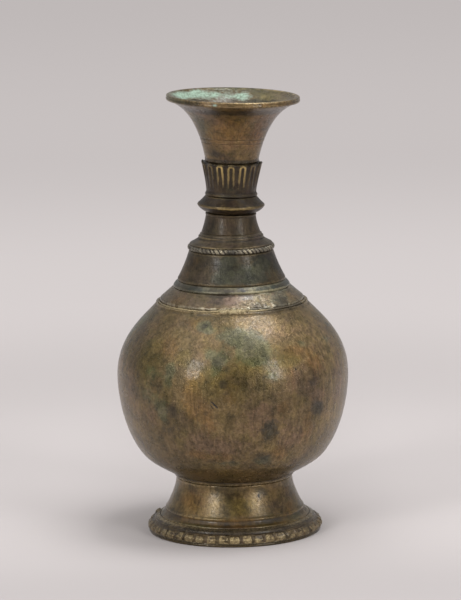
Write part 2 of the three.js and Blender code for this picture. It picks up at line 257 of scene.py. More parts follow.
# %% [markdown]
# ## The mesh
# The grid closes on itself round the axis. An outline that starts and ends on the axis gets a
# fan of triangles at each end. The mesh keeps a map of its unrolled skin, in millimetres
# round and along, for marks that are finer than its faces.

# %% Faces of a grid, and its unrolled map
def grid_faces(rows, columns, looped):
    """Quads from each row to the next and each column to the next, as numbers of grid points."""
    last = rows if looped else rows - 1
    i, j = [n.ravel() for n in np.meshgrid(np.arange(last), np.arange(columns), indexing="ij")]
    upper, right = (i + 1) % rows, (j + 1) % columns
    return np.stack([i * columns + j, i * columns + right, upper * columns + right,
                     upper * columns + j], -1), i, j


def unrolled(form, i, j):
    """U is the angle times the section's widest radius, V the run along the outline."""
    run = np.append(form["run"], form["run"][-1] + form["run"][1])
    around = (np.stack([j, j + 1, j + 1, j], -1) / form["r"].shape[1] - 0.5) * 2 * np.pi
    along = np.stack([run[i], run[i], run[i + 1], run[i + 1]], -1)
    return np.stack([around * form["r"].max(), along], -1)


# %% Put a grid into a mesh
def surface(name, form, leaning=False, **stains):
    """A closed mesh object from a grid. On the axis the first and last row shrink to a point,
    and each quad that touches them to a triangle."""
    upright = form["r"] * np.sin(form["turn"]), -form["r"] * np.cos(form["turn"]), form["z"]
    points = np.stack(leant(*upright) if leaning else upright, -1).reshape(-1, 3)
    rows, columns = form["r"].shape
    faces, i, j = grid_faces(rows, columns, form["closed"])
    flat = unrolled(form, i, j)
    values = {"stand": stand_out(form)}
    values.update({kind: patches(form, stains.get(kind, [])) for kind in STAINS})
    mesh = bpy.data.meshes.new(name)
    mesh.from_pydata(points * MM, [], faces.tolist())
    for kind, grid in values.items():
        mesh.attributes.new(kind, "FLOAT", "POINT").data.foreach_set("value", grid.ravel())
    mesh.uv_layers.new(name="unrolled").data.foreach_set("uv", flat.ravel())
    if not form["closed"]:
        draw_together(mesh)
    mesh.shade_smooth()
    print(name, len(mesh.polygons), "faces")
    return shown(name, mesh)


def draw_together(mesh, close=0.00005):
    """Merges the points that lie on the axis, closer to each other than 0.05 mm."""
    build = bmesh.new()
    build.from_mesh(mesh)
    poles = [v for v in build.verts if v.co.xy.length < close]
    bmesh.ops.remove_doubles(build, verts=poles, dist=close)
    build.to_mesh(mesh)
    build.free()


def shown(name, data):
    """A new object in the scene that holds the mesh, the light or the camera."""
    thing = bpy.data.objects.new(name, data)
    bpy.context.collection.objects.link(thing)
    return thing


# %% [markdown]
# ## Foot
# The foot is one hollow casting: a thin flange, a hollow ledge, a ridge, and a waist that
# draws in towards the belly. A lathe would do for all of it, so it is only an outline.

# %% Foot pedestal
foot_outside = joined(
    soften([(33.5, 0.0), (43.4, 0.0), (43.4, 1.4), (37.6, 1.4), (37.6, 8.2), (37.3, 8.6)]),
    swell([(37.3, 8.6), (35.3, 9.2), (34.75, 11.2)], 12),
    soften([(34.75, 11.2), (35.05, 11.7), (34.9, 12.2), (34.3, 12.7)], 0.5),
    swell([(34.3, 12.7), (29.0, 22.9), (29.3, 27.7)], 40),
)
foot_inside = joined(
    soften([(29.3, 27.7), (29.1, 28.0), (26.8, 28.0), (26.8, 22.0), (27.1, 20.5)]),
    swell([(27.1, 20.5), (29.0, 17.5), (33.5, 5.0)], 16),
    [(33.5, 5.0), (33.5, 0.0)],
)
foot = turned(skin(foot_outside, foot_inside, 0.45, 1.4), 320)

# %% [markdown]
# ## Tongue border
# A cast strip is laid on the flange. On its face stands a row of tongues: each is a pad with
# a raised rim and a sunken middle. The strip was cast from a stamped model and then trimmed by
# hand, so no two tongues are quite alike, and its ends meet, slightly apart, at the left.

# %% Border of tongues
TONGUES, TONGUE_GAP, RIDGES = 45, 0.55, 2
BORDER_RADIUS, PAD_BOTTOM, PAD_TOP, PAD_CORNER, PAD_SUNK = 43.0, 1.7, 5.9, 0.8, 0.1
RIDGE_HALF_LENGTH, RIDGE_HALF_WIDTH = 1.3, 0.6
BORDER_END, JOINT_RADIUS, SLIT_DEPTH, BENT_UP = math.radians(-101.7), 41.0, 0.9, 1.1
tongue_rng = np.random.default_rng(11)
tongue_shift, tongue_wide, tongue_tall, tongue_worn, tongue_tilt = [
    tongue_rng.uniform(low, high, TONGUES)
    for low, high in ((-0.35, 0.35), (2.15, 2.6), (-0.5, 0.25), (0.6, 1.0), (-0.13, 0.13))
]
ridge_side, ridge_up, ridge_turn, ridge_high = [
    tongue_rng.uniform(low, high, (RIDGES, TONGUES))
    for low, high in ((-1.2, 1.2), (2.4, 4.4), (0.5, 1.4), (0.08, 0.25))
]


def rounded_pad(across, up, half_width, half_height, corner):
    """Distance from the outline of a rectangle with round corners: minus inside it."""
    x, y = np.abs(across) - half_width + corner, np.abs(up) - half_height + corner
    return np.minimum(np.maximum(x, y), 0) + np.hypot(np.maximum(x, 0), np.maximum(y, 0)) - corner


def ease(value, low, high):
    """0 below low, 1 above high and 3t^2 - 2t^3 between."""
    t = np.clip((value - low) / (high - low), 0, 1)
    return 3 * t**2 - 2 * t**3


def nearest(turn, count, radius, shift):
    """Which of a row of equal ornaments is nearest, and the way across from its middle."""
    place = turn / (2 * np.pi) * count
    which = np.round(place).astype(int) % count
    return which, (place - np.round(place)) * 2 * np.pi * radius / count - shift[which]


def tongue_relief(turn, r, z):
    """Down to the gap's depth outside each pad, up at its rim and a little down inside, with
    short slanting ridges at odd places on it. Each pad also tilts to one side."""
    which, across = nearest(turn, TONGUES, BORDER_RADIUS, tongue_shift)
    top = PAD_TOP + tongue_tall[which]
    up, half_height = z - (top + PAD_BOTTOM) / 2, (top - PAD_BOTTOM) / 2
    inside = -rounded_pad(across, up, tongue_wide[which], half_height, PAD_CORNER)
    pad, middle = ease(inside, -0.35, 0.45), ease(inside, 0.35, 1.3)
    on_pad = across * tongue_tilt[which] - PAD_SUNK * middle
    for side, height, lean, high in zip(ridge_side, ridge_up, ridge_turn, ridge_high):
        x, y = across - side[which], z - height[which]
        slope, rise = np.cos(lean[which]), np.sin(lean[which])
        on_pad = on_pad + high[which] * (hump(x * slope + y * rise, RIDGE_HALF_LENGTH)
                                         * hump(y * slope - x * rise, RIDGE_HALF_WIDTH))
    face = ease(r, 40.4, 41.0) * ease(z, PAD_BOTTOM - 0.2, PAD_BOTTOM + 0.2)
    return face * (TONGUE_GAP * (pad * tongue_worn[which] - 1) + pad * on_pad)


def border_relief(turn, r, z):
    """The tongues, and at the joint a slit, with one end of the strip bent up beside it."""
    past = (turn - BORDER_END) * JOINT_RADIUS
    slit = -SLIT_DEPTH * hump(past, 0.35) * ease(r, 38.2, 38.8)
    bent = BENT_UP * ease(past, 0.1, 0.5) * (1 - ease(past, 0.8, 5.0)) * ease(z, 4.5, 7.5)
    return tongue_relief(turn, r, z) + slit + bent * ease(r, 38.0, 38.4)


border_section = closed([
    (37.7, 1.4), (43.7, 1.4), (44.0, 1.9), (44.0, 3.9), (41.7, 6.1), (38.6, 8.1), (37.7, 8.3),
], 0.5)
border = turned(paced(border_section, 0.24), TONGUES * 22, border_relief, 1.5, 0.5)

# %% [markdown]
# ## Belly
# The belly is raised or cast thin, turned on a lathe and then hand-rubbed. It ends below in a
# spigot that goes down into the foot, and above in a lip that stands up as a fine bright line.

# %% Belly
belly_outside = joined(
    soften([(26.5, 25.0), (26.5, 28.0), (29.9, 28.0), (30.1, 28.9), (29.8, 29.4), (30.3, 29.8)]),
    swell([(30.3, 29.8), (41.2, 36.1), (44.9, 37.0), (50.0, 46.2)], 60),
    swell([(50.0, 46.2), (56.8, 58.5), (58.05, 73.4), (58.05, 80.0)], 60),
    swell([(58.05, 80.0), (58.05, 99.0), (44.5, 108.8), (38.2, 115.9)], 80),
    soften([(38.2, 115.9), (38.1, 116.9), (37.6, 117.2), (37.2, 116.7), (34.8, 116.7)], 0.3),
)
belly_inside = joined(
    soften([(34.8, 116.7), (34.8, 114.6), (43.0, 107.2)]),
    swell([(43.0, 107.2), (55.8, 98.0), (55.8, 85.0), (55.8, 80.0)], 30),
    swell([(55.8, 80.0), (55.8, 73.4), (54.6, 59.0), (48.2, 47.4)], 30),
    swell([(48.2, 47.4), (43.5, 39.0), (39.5, 38.6), (28.7, 31.3)], 30),
    soften([(28.7, 31.3), (26.2, 29.9), (23.5, 28.7), (0.0, 28.4)]),
)
belly_foot = soften([(0.0, 26.0), (20.5, 25.5), (23.5, 25.0), (26.5, 25.0)])
belly = turned(
    joined(paced(belly_foot, 2.5), paced(belly_outside, 0.85), paced(belly_inside, 3.2)), 384,
)

# %% [markdown]
# ## Shoulder cap and solder
# The cap closes the wide mouth of the belly. Its seam was run full of soft solder, which sank
# into the groove, stands up as a lump near the front and was smeared up the cap to the right.

# %% Shoulder cap
cap_outside = joined(
    soften([(34.5, 114.0), (34.5, 117.0), (35.9, 117.0), (36.1, 118.4), (35.7, 119.0)], 0.4),
    swell([(35.7, 119.0), (32.4, 121.8), (29.9, 124.0)], 16),
    soften([(29.9, 124.0), (29.2, 124.4), (24.8, 124.4), (24.8, 129.4), (22.8, 129.4)], 0.3),
)
cap_inside = soften([
    (22.8, 129.4), (22.8, 122.9), (23.7, 122.0), (27.1, 122.0), (32.3, 117.6), (32.3, 114.0),
    (34.5, 114.0),
])
smear_rng = np.random.default_rng(23)
SMEARS = list(zip(*(
    smear_rng.uniform(low, high, 130)
    for low, high in ((6, 37), (117.7, 121.6), (0.35, 1.3), (0.2, 0.45), (-0.15, 0.2))
)))


def smeared(turn, r, z):
    """Little lumps and pits of solder on the cap, right of the front, each a soft round patch."""
    return patches({"turn": turn, "r": r, "z": z}, SMEARS) * ease(r, 28.5, 30.0)


cap = turned(skin(cap_outside, cap_inside, 0.35, 1.2), 480, smeared)

# %% Shoulder solder
SOLDER_WAVES = [(k, smear_rng.uniform(0, 6.28)) for k in (9, 14, 21, 33, 47, 71, 104, 151)]
LUMP_TURN, LUMP_HALF, LUMP_HIGH, LUMP_ROUGH, BEAD_ROUGH = math.radians(1), 0.22, 1.0, 0.8, 0.3
# Angle in degrees, half width in radians and height of the places that are filled fuller
FILLED = ((24, 0.22, 0.2), (56, 0.4, 0.35), (140, 0.2, 0.5))


def wavy(turn, waves, drift=0):
    """The mean of sin(k * turn + drift + phase) over the waves."""
    return sum(np.sin(k * turn + drift + p) for k, p in waves) / len(waves)


def solder_relief(turn, r, z):
    """The bead rises where a lump's patch lies over it, and is ragged all round. The lump at
    the front also runs out over the belly's lip."""
    lump = hump(turn - LUMP_TURN, LUMP_HALF, 4)
    rise = lump * (LUMP_HIGH + LUMP_ROUGH * wavy(turn, SOLDER_WAVES[4:], z * 5))
    rise += BEAD_ROUGH * wavy(turn, SOLDER_WAVES)
    rise += sum(high * hump(turn - math.radians(at), half, 4) for at, half, high in FILLED)
    return rise * np.maximum(ease(z, 116.9, 117.3), lump * ease(r, 36.6, 37.0))


solder_section = closed([
    (36.2, 116.8), (37.0, 116.8), (37.15, 117.1), (36.85, 117.5), (36.2, 117.6),
], 0.2)
solder = turned(paced(solder_section, 0.12), 720, solder_relief)
root_solder_section = closed([
    (26.4, 22.4), (26.5, 25.0), (24.0, 25.0), (24.4, 23.9), (25.4, 22.9),
], 0.2)
root_solder = turned(paced(root_solder_section, 0.35), 240, lambda turn, r, z: (
    BEAD_ROUGH * wavy(turn, SOLDER_WAVES[:5]) * ease(24.9 - z, 0, 0.8)
))

# %% [markdown]
# ## Lower neck
# A low round ring, a bell and a stepped flange follow each other. Under the flange sits a
# cord-like ring: a rounded band that was filed across at a slant, 56 times, by eye.

# %% Shoulder ring and neck bell
ring_outside = soften([
    (25.1, 124.4), (28.9, 124.4), (29.2, 124.8), (29.15, 125.4), (28.2, 126.7), (27.3, 127.5),
    (26.9, 127.7), (25.1, 127.7),
], 0.35)
ring = turned(skin(ring_outside, None, 0.25, 0.8), 320)
bell_outside = joined(
    soften([(25.1, 127.7), (26.7, 127.7), (27.0, 128.1), (26.9, 128.9), (26.5, 129.5)], 0.25),
    swell([(26.5, 129.5), (23.0, 136.1), (21.05, 142.7)], 30),
)
bell_inside = soften([
    (21.05, 142.7), (20.8, 143.0), (18.2, 143.0), (18.2, 139.7), (21.4, 132.5),
    (23.3, 129.7), (25.1, 129.7), (25.1, 127.7),
], 0.4)
bell = turned(skin(bell_outside, bell_inside, 0.35, 1.0), 288)

# %% Stepped flange
flange_outside = joined(
    soften([(17.9, 140.0), (17.9, 143.0), (19.4, 143.0), (19.4, 145.6), (20.6, 145.6),
            (20.85, 145.9), (20.5, 146.3)], 0.25),
    swell([(20.5, 146.3), (18.2, 147.4), (16.7, 148.5)], 14),
    soften([(16.7, 148.5), (16.25, 148.8), (16.3, 149.9), (15.55, 150.25), (15.5, 151.1),
            (14.8, 151.3), (14.8, 151.6), (12.5, 151.6)], 0.22),
)
flange_inside = soften([(12.5, 151.6), (12.5, 146.6), (15.5, 143.6), (15.5, 140.0), (17.9, 140.0)])
flange = turned(skin(flange_outside, flange_inside, 0.25, 1.0), 288)

# %% Notched band
NOTCHES, BAND_RADIUS, BAND_MIDDLE, NOTCH_SLANT, NOTCH_HALF = 56, 21.5, 144.3, 0.22, 0.5
SHALLOW, DEEP = 0.2, 0.6
notch_rng = np.random.default_rng(31)
notch_shift = notch_rng.uniform(-0.28, 0.28, NOTCHES)
notch_deep = notch_rng.uniform(SHALLOW, DEEP, NOTCHES)
notch_deep[[51, 52, 53, 54, 2, 3, 4]] = DEEP
notch_deep[[55, 0, 1]] = SHALLOW


def notch_relief(turn, r, z):
    """Each cut is a groove, hump(distance, half width) deep, whose line leans with height."""
    place = turn / (2 * np.pi) * NOTCHES + (z - BAND_MIDDLE) * NOTCH_SLANT
    which = np.floor(place).astype(int) % NOTCHES
    pitch = 2 * np.pi * BAND_RADIUS / NOTCHES
    away = (place - np.floor(place) - 0.5) * pitch - notch_shift[which]
    return -notch_deep[which] * hump(away, NOTCH_HALF) * ease(r, 20.2, 21.0)


band_section = closed([
    (19.7, 143.0), (21.0, 143.0), (21.7, 143.5), (21.85, 144.3), (21.6, 145.1), (20.9, 145.6),
    (19.7, 145.6),
], 0.4)
band = turned(paced(band_section, 0.22), NOTCHES * 16, notch_relief)

# %% [markdown]
# ## Upper neck
# The cone, the knop, the petal collar and the funnel lean together. They are worked out
# upright, with their waves and relief, and bent over when the mesh is made.

# %% Neck cone and knop
cone_outside = joined(
    soften([(12.2, 147.0), (12.2, 151.6), (14.55, 151.6), (14.7, 151.9)], 0.15),
    swell([(14.7, 151.9), (13.2, 155.6), (12.45, 160.2)], 26),
    soften([(12.45, 160.2), (12.75, 160.5), (12.75, 161.0), (12.45, 161.3), (10.9, 161.3),
            (10.9, 164.7), (9.0, 164.7)], 0.2),
)
cone_inside = soften([(9.0, 164.7), (9.0, 147.0), (12.2, 147.0)])
cone = turned(skin(cone_outside, cone_inside, 0.28, 1.2), 240)
knop_outside = joined(
    soften([(11.2, 161.6), (12.4, 161.6), (12.7, 161.9)], 0.15),
    swell([(12.7, 161.9), (14.9, 162.6), (16.55, 164.7)], 16),
    soften([(16.55, 164.7), (16.85, 165.2), (16.75, 165.8), (16.3, 166.2)], 0.25),
    swell([(16.3, 166.2), (14.4, 167.9), (13.1, 169.5)], 16),
    soften([(13.1, 169.5), (12.9, 169.9), (11.2, 169.9)], 0.2),
)
knop = turned(skin(knop_outside, None, 0.25, 1.0), 256)

# %% [markdown]
# ## Petal collar
# Fifteen tall arches stand round the collar. Each arch is a thin rib that runs up one side,
# over a round tip and down the other side, and fades out near the base. Below them is a fine
# bead, and above a slanting ledge, from which the funnel rises.

# %% Petal collar
PETALS = 15
petal_rng = np.random.default_rng(43)
petal_shift = petal_rng.uniform(-0.3, 0.3, PETALS)
petal_shift[[13, 14, 0, 1, 2]] = 0.1, 0.1, -0.1, -0.15, -0.1
petal_top = petal_rng.uniform(-0.25, 0.2, PETALS)
petal_high = petal_rng.uniform(0.75, 1.0, PETALS)
petal_fade = petal_rng.uniform(0, 5.0, (2, PETALS))
PETAL_TURN = math.radians(-1.1)
CLOTS = list(zip(*(
    petal_rng.uniform(low, high, 30) for low, high in ((-3.14, 3.14), (0.4, 1.1), (0.1, 0.5))
)))
SUNK, RIB_HALF, ARCH_TOP, ARCH_BASE, ARCH_HALF = 0.6, 0.74, 184.7, 172.4, 1.3
SLEEVE_RADIUS, FOOT_RAISED, NOTCH_HIGH, LEG_DRIFT, EVEN_FADE = 14.6, 0.25, 0.25, 0.2, 0.35


def petal_relief(turn, r, z):
    """Distance from the arch's line: above its springing from a half circle, below it from two
    lines that drift apart. The rib is hump(distance, half width) above the sunk ground.
    The top edge swings in and out a little with the arches, and clots of old dirt lie on it."""
    which, across = nearest(turn - PETAL_TURN, PETALS, SLEEVE_RADIUS, petal_shift)
    spring = ARCH_TOP + petal_top[which]
    half = ARCH_HALF + LEG_DRIFT * ease(spring - z, 0, 9)
    above = np.abs(np.hypot(across, z - spring) - ARCH_HALF)
    away = np.where(z > spring, above, np.abs(np.abs(across) - half))
    rib = hump(away, RIB_HALF) * petal_high[which]
    ends = ARCH_BASE + petal_fade[(across > 0).astype(int), which]
    even, uneven_ends = ease(z, ARCH_BASE, ARCH_BASE + 4.0), ease(z, ends, ends + 9.0)
    fade = EVEN_FADE * even + (1 - EVEN_FADE) * uneven_ends
    wall = ease(z, 171.5, 171.9) * ease(r, 12.2, 12.6) * (1 - ease(z, 186.45, 186.65))
    arches = SUNK * (rib * fade - 1) + FOOT_RAISED * (1 - fade)
    notch = NOTCH_HIGH * ease(z, 185.9, 186.2) * np.cos(turn * PETALS + 0.3 * np.sin(turn * 4))
    clots = sum(high * hump(apart(turn, at) * r, wide) for at, wide, high in CLOTS)
    edge = notch + clots * ease(z, 186.2, 186.5)
    return wall * arches + edge * ease(r, 14.0, 14.6)


collar_outside = joined(
    soften([(11.2, 170.2), (12.9, 170.2), (13.2, 170.7), (12.85, 171.4)], 0.25),
    swell([(12.85, 171.4), (12.9, 176.5), (15.2, 186.0)], 60),
    soften([(15.2, 186.0), (15.4, 186.35), (15.0, 186.6), (14.2, 186.7), (13.5, 187.02),
            (11.2, 187.05)], 0.25),
)
collar = turned(skin(collar_outside, None, 0.25, 1.0), PETALS * 32, petal_relief, 1.1)

# %% [markdown]
# ## Mouth funnel
# The funnel is the largest turned section: a stem runs down through the collar and the knop,
# a trumpet opens above them, and the lip is a flat band with a groove. Two fine lines were cut
# round the trumpet on the lathe.

# %% Mouth funnel
CUT_LINES = ((199.05, 0.22, 0.34), (197.0, 0.2, 0.3))


def cut_lines(turn, r, z):
    """Round grooves, hump(height - line, half width) deep, a little unsteady by hand."""
    drift = 0.12 * np.sin(turn * 2 + 1) + 0.05 * np.sin(turn * 5)
    cuts = sum(-deep * hump(z - line - drift, half) for line, deep, half in CUT_LINES)
    return cuts * ease(r, 14.6, 14.9)


trumpet = [(13.5, 189.0), (19.0, 214.3), (30.0, 215.5), (31.3, 217.15)]
funnel_outside = joined(
    soften([(10.9, 164.9), (10.9, 187.1), (13.2, 187.1), (13.5, 187.5), (13.5, 189.0)]),
    swell(trumpet, 120),
    soften([(31.3, 217.15), (33.1, 217.3), (33.45, 217.9), (33.4, 218.5), (33.2, 218.75),
            (33.32, 219.1), (33.2, 219.8), (32.5, 220.1), (31.4, 220.0), (30.9, 219.7)], 0.22),
)
funnel_inside = joined(
    swell([(30.9, 219.7), (29.5, 217.3), (17.6, 216.3), (11.6, 189.0)], 60),
    soften([(11.6, 189.0), (9.0, 186.6), (9.0, 164.9), (10.9, 164.9)], 0.8),
)
funnel = turned(skin(funnel_outside, funnel_inside, 0.3, 0.8), 320, cut_lines)

# %% [markdown]
# ## Node groups for the finishes
# Every bronze section shares the same kinds of effect, so each effect is one node group with
# named inputs and outputs. Small helpers add a node, set its options and link its inputs.

# %% Node helpers
def feed(tree, value, socket):
    """Links the socket to a value that is a socket too, and sets it to any other value."""
    if isinstance(value, bpy.types.NodeSocket):
        tree.links.new(value, socket)
    else:
        socket.default_value = value


def add(tree, kind, settings=None, **inputs):
    """A node of that kind, with its options set and its inputs fed."""
    node = tree.nodes.new("ShaderNode" + kind)
    for option, value in (settings or {}).items():
        setattr(node, option, value)
    for title, value in inputs.items():
        socket = next(s for s in node.inputs if s.name.replace(" ", "_") == title and s.enabled)
        feed(tree, value, socket)
    return node


def noise(tree, vector, scale, detail=4.0, roughness=0.6, distortion=0.0):
    """Fractal noise between 0 and 1; its scale is in patches per metre."""
    return add(tree, "TexNoise", Vector=vector, Scale=scale, Detail=detail,
               Roughness=roughness, Distortion=distortion).outputs[0]


def window(tree, value, low, high):
    """0 below low and 1 above high, with a soft step between."""
    return add(tree, "MapRange", {"interpolation_type": "SMOOTHSTEP"}, Value=value,
               From_Min=low, From_Max=high).outputs[0]


def blend(tree, mask, first, second, mode="MIX"):
    """The first colour where the mask is 0, the second, or their product, where it is 1."""
    node = add(tree, "Mix", {"data_type": "RGBA", "blend_type": mode}, Factor=mask)
    for value, socket in zip((first, second), [s for s in node.inputs if s.type == "RGBA"]):
        feed(tree, value, socket)
    return next(s for s in node.outputs if s.type == "RGBA")


def sums(tree, operation, first, second=0.0, third=0.0):
    """One Math node: ADD, SUBTRACT, MULTIPLY, DIVIDE, MAXIMUM, ABSOLUTE or MULTIPLY_ADD."""
    node = add(tree, "Math", {"operation": operation})
    for value, socket in zip((first, second, third), node.inputs):
        feed(tree, value, socket)
    return node.outputs[0]


def times(tree, first, second):
    """first * second"""
    return sums(tree, "MULTIPLY", first, second)


def plus(tree, first, second, start):
    """first * second + start"""
    return sums(tree, "MULTIPLY_ADD", first, second, start)


def largest(tree, masks):
    """The largest of the masks, or nothing where there are none."""
    masks = list(masks)
    while len(masks) > 1:
        masks[:2] = [sums(tree, "MAXIMUM", masks[0], masks[1])]
    return masks[0] if masks else None


def effect(name, inputs, outputs):
    """An empty node group: its tree, its inputs, and the sockets of its output node. An input
    without a value is a vector, and any other is a number, as are the outputs but colours."""
    tree = bpy.data.node_groups.new(name, "ShaderNodeTree")
    for title, value in inputs.items():
        kind = "NodeSocketVector" if value is None else "NodeSocketFloat"
        socket = tree.interface.new_socket(title, in_out="INPUT", socket_type=kind)
        if value is not None:
            socket.default_value = value
    for title in outputs:
        kind = "NodeSocketColor" if "colour" in title else "NodeSocketFloat"
        tree.interface.new_socket(title, in_out="OUTPUT", socket_type=kind)
    given = tree.nodes.new("NodeGroupInput").outputs
    print("node group", name, "gives", outputs)
    return tree, given, tree.nodes.new("NodeGroupOutput").inputs


def use(tree, group, **inputs):
    """Places a group in a material and returns its outputs."""
    return add(tree, "Group", {"node_tree": group}, **inputs).outputs


def blank(name):
    """A new material: itself, its tree and its one shader."""
    material = bpy.data.materials.new(name)
    material.use_nodes = True
    return material, material.node_tree, material.node_tree.nodes["Principled BSDF"]


# %% [markdown]
# ## Mottled patina
# Old bronze is never one brown. Broad clouds make it darker and lighter, others turn it
# towards plum, ember red or green, and a fine speckle and faint upright streaks break up
# every tone. The group gives these as values, and each finish chooses its own colours.

# %% Patina group
# Step of the origin, share of the patches, detail, roughness, distortion, and the window's ends
CLOUDS = {
    "Cloud": (0, 1.0, 5.0, 0.62, 0.3, 0.36, 0.64),
    "Plum": (3, 1.2, 5.0, 0.66, 0.4, 0.42, 0.72),
    "Ember": (7, 1.5, 5.0, 0.66, 0.0, 0.46, 0.7),
    "Patch": (11, 3.1, 6.0, 0.7, 0.0, 0.38, 0.64),
    "Speck": (17, 8.0, 4.0, 0.75, 0.0, 0.36, 0.66),
    "Grain": (23, 18.0, 2.0, 0.6, 0.0, 0.32, 0.68),
}
STREAKS_PER_METRE, STREAK_LENGTH, DARKEST = 560.0, 0.07, 0.505
SHADES = {"Speck": 0.4, "Grain": 0.32, "Streak": 0.26}
patina, given, gives = effect(
    "patina", {"Vector": None, "Patches per metre": 90.0}, [*CLOUDS, "Streak", "Shade"],
)
spots = {}
for title, (step, share, *look, low, high) in CLOUDS.items():
    place = add(patina, "Mapping", Vector=given["Vector"], Location=(step, -step, step)).outputs[0]
    scale = times(patina, given["Patches per metre"], share)
    spots[title] = window(patina, noise(patina, place, scale, *look), low, high)
upright = add(patina, "Mapping", Vector=given["Vector"], Scale=(1.0, 1.0, STREAK_LENGTH)).outputs[0]
streaks = noise(patina, upright, STREAKS_PER_METRE, 3.0, 0.65)
spots["Streak"] = window(patina, streaks, 0.34, 0.66)
for title, value in spots.items():
    feed(patina, value, gives[title])
shade = DARKEST
for title, share in SHADES.items():
    shade = plus(patina, spots[title], share, shade)
feed(patina, shade, gives["Shade"])

# %% [markdown]
# ## Wear and dirt
# Edges that stand out are rubbed bright, and grooves hold dark grime. Both begin at a given
# distance, and the patina's own patches break their borders, so no edge is worn evenly.

# %% Wear group
wear, given, gives = effect(
    "wear", {"Stand": 0.0, "Break": 0.5, "Edge": 0.25, "Depth": 0.2}, ["Worn", "Grime"],
)
BREAK_SHARE, EDGE_SOFT, DEPTH_SOFT = 0.5, 0.45, 0.5
uneven_break = plus(wear, given["Break"], BREAK_SHARE, -BREAK_SHARE / 2)
proud = sums(wear, "ADD", given["Stand"], uneven_break)
sunk = plus(wear, given["Stand"], -1.0, uneven_break)
edge_full = sums(wear, "ADD", given["Edge"], EDGE_SOFT)
depth_full = sums(wear, "ADD", given["Depth"], DEPTH_SOFT)
feed(wear, window(wear, proud, given["Edge"], edge_full), gives["Worn"])
feed(wear, window(wear, sunk, given["Depth"], depth_full), gives["Grime"])

# %% [markdown]
# ## Blotches and verdigris
# A stain is a soft patch whose edge and inside are broken up by noise of several sizes. Green
# salts grow on bronze where water stood: a thin stain only tints the brown, a film of salts is
# grey, and a thick crust is pale mint, matt and grainy, with brown metal between.

# %% Blotch group
blotch, given, gives = effect("blotch", {"Vector": None, "Amount": 0.0}, ["Mask"])
STAIN_SHARE = 0.55
broken = noise(blotch, given["Vector"], 240.0, 7.0, 0.78, 0.4)
spread = plus(blotch, given["Amount"], STAIN_SHARE, broken)
feed(blotch, window(blotch, spread, 0.6, 0.9), gives["Mask"])

# %% Verdigris group
verdigris, given, gives = effect(
    "verdigris", {"Vector": None, "Amount": 0.0}, ["Crust", "Crust colour", "Height"],
)
FILM, MINT, SHADED = (0.2, 0.215, 0.165, 1), (0.33, 0.46, 0.355, 1), (0.13, 0.165, 0.12, 1)
coarse = noise(verdigris, given["Vector"], 230.0, 6.0, 0.74, 0.4)
small = noise(verdigris, given["Vector"], 800.0, 4.0, 0.75)
THINNEST, HOLLOW_SHARE = -0.7, 0.75
crust = THINNEST
for value, share in ((given["Amount"], 0.9), (coarse, 1.7), (small, 1.3)):
    crust = plus(verdigris, value, share, crust)
salts = blend(verdigris, window(verdigris, crust, 1.4, 2.0), FILM, MINT)
hollows = times(verdigris, window(verdigris, small, 0.54, 0.4), HOLLOW_SHARE)
feed(verdigris, window(verdigris, crust, 1.16, 1.56), gives["Crust"])
feed(verdigris, blend(verdigris, hollows, salts, SHADED), gives["Crust colour"])
feed(verdigris, small, gives["Height"])

# %% [markdown]
# ## Nicks
# A scratch or a pit is too fine for the faces of the mesh. It is a long or round spot on the
# unrolled skin: the map is moved to the nick, turned along it and scaled by its half length
# and half width, so that the nick is where the distance from the middle is less than 1.

# %% Nick group
nick, given, gives = effect(
    "nick", {"Vector": None, "Break": 0.5, "Place": None, "Angle": None, "Size": None}, ["Mask"],
)
on_nick = add(nick, "Mapping", {"vector_type": "TEXTURE"}, Vector=given["Vector"],
              Location=given["Place"], Rotation=given["Angle"], Scale=given["Size"]).outputs[0]
from_middle = add(nick, "VectorMath", {"operation": "LENGTH"}, Vector=on_nick).outputs["Value"]
NICK_RAGGED, NICK_FULL, NICK_GONE = 0.5, 0.85, 1.3
ragged = plus(nick, given["Break"], NICK_RAGGED, from_middle)
outside = window(nick, ragged, NICK_FULL, NICK_GONE)
feed(nick, sums(nick, "SUBTRACT", 1.0, outside), gives["Mask"])


def skin_place(form, turn, height):
    """The unrolled place of a point of the outside, from its angle in degrees and its height."""
    faces_out = form["out_r"][:, 0] > 0.05
    off = np.where(faces_out, np.abs(form["z"].mean(axis=1) - height), np.inf)
    return math.radians(turn) * form["r"].max(), float(form["run"][int(np.argmin(off))])


# %% [markdown]
# ## The bronze finishes
# One recipe makes every bronze: deep, middle and light tones mixed by the patina and tinted in places,
# with the light tone also laid over rubbed places and painted highlights, then rubbed edges, dark
# stains and painted shade, grime, crust and nicks laid over in that order.
# Patina is part metal and part oxide, so Metallic stays below 1, and crust is not metal at
# all. The tones differ from section to section, and so does how far the edges are worn.

# %% Tones
def tone(code):
    """A colour written as in a paint list, changed to the linear values that shaders use."""
    parts = [int(code[k:k + 2], 16) / 255 for k in (0, 2, 4)]
    return tuple(v / 12.92 if v <= 0.04045 else ((v + 0.055) / 1.055) ** 2.4 for v in parts) + (1,)


def palette(codes, metal, rough, gloss, coat):
    """The five tones of a finish, and how metallic, rough and glossy it and its coat are."""
    tones = dict(zip(("deep", "middle", "light", "worn", "grime"), codes.split()))
    return {**tones, "metal": metal, "rough": rough, "gloss": gloss, "coat": coat}


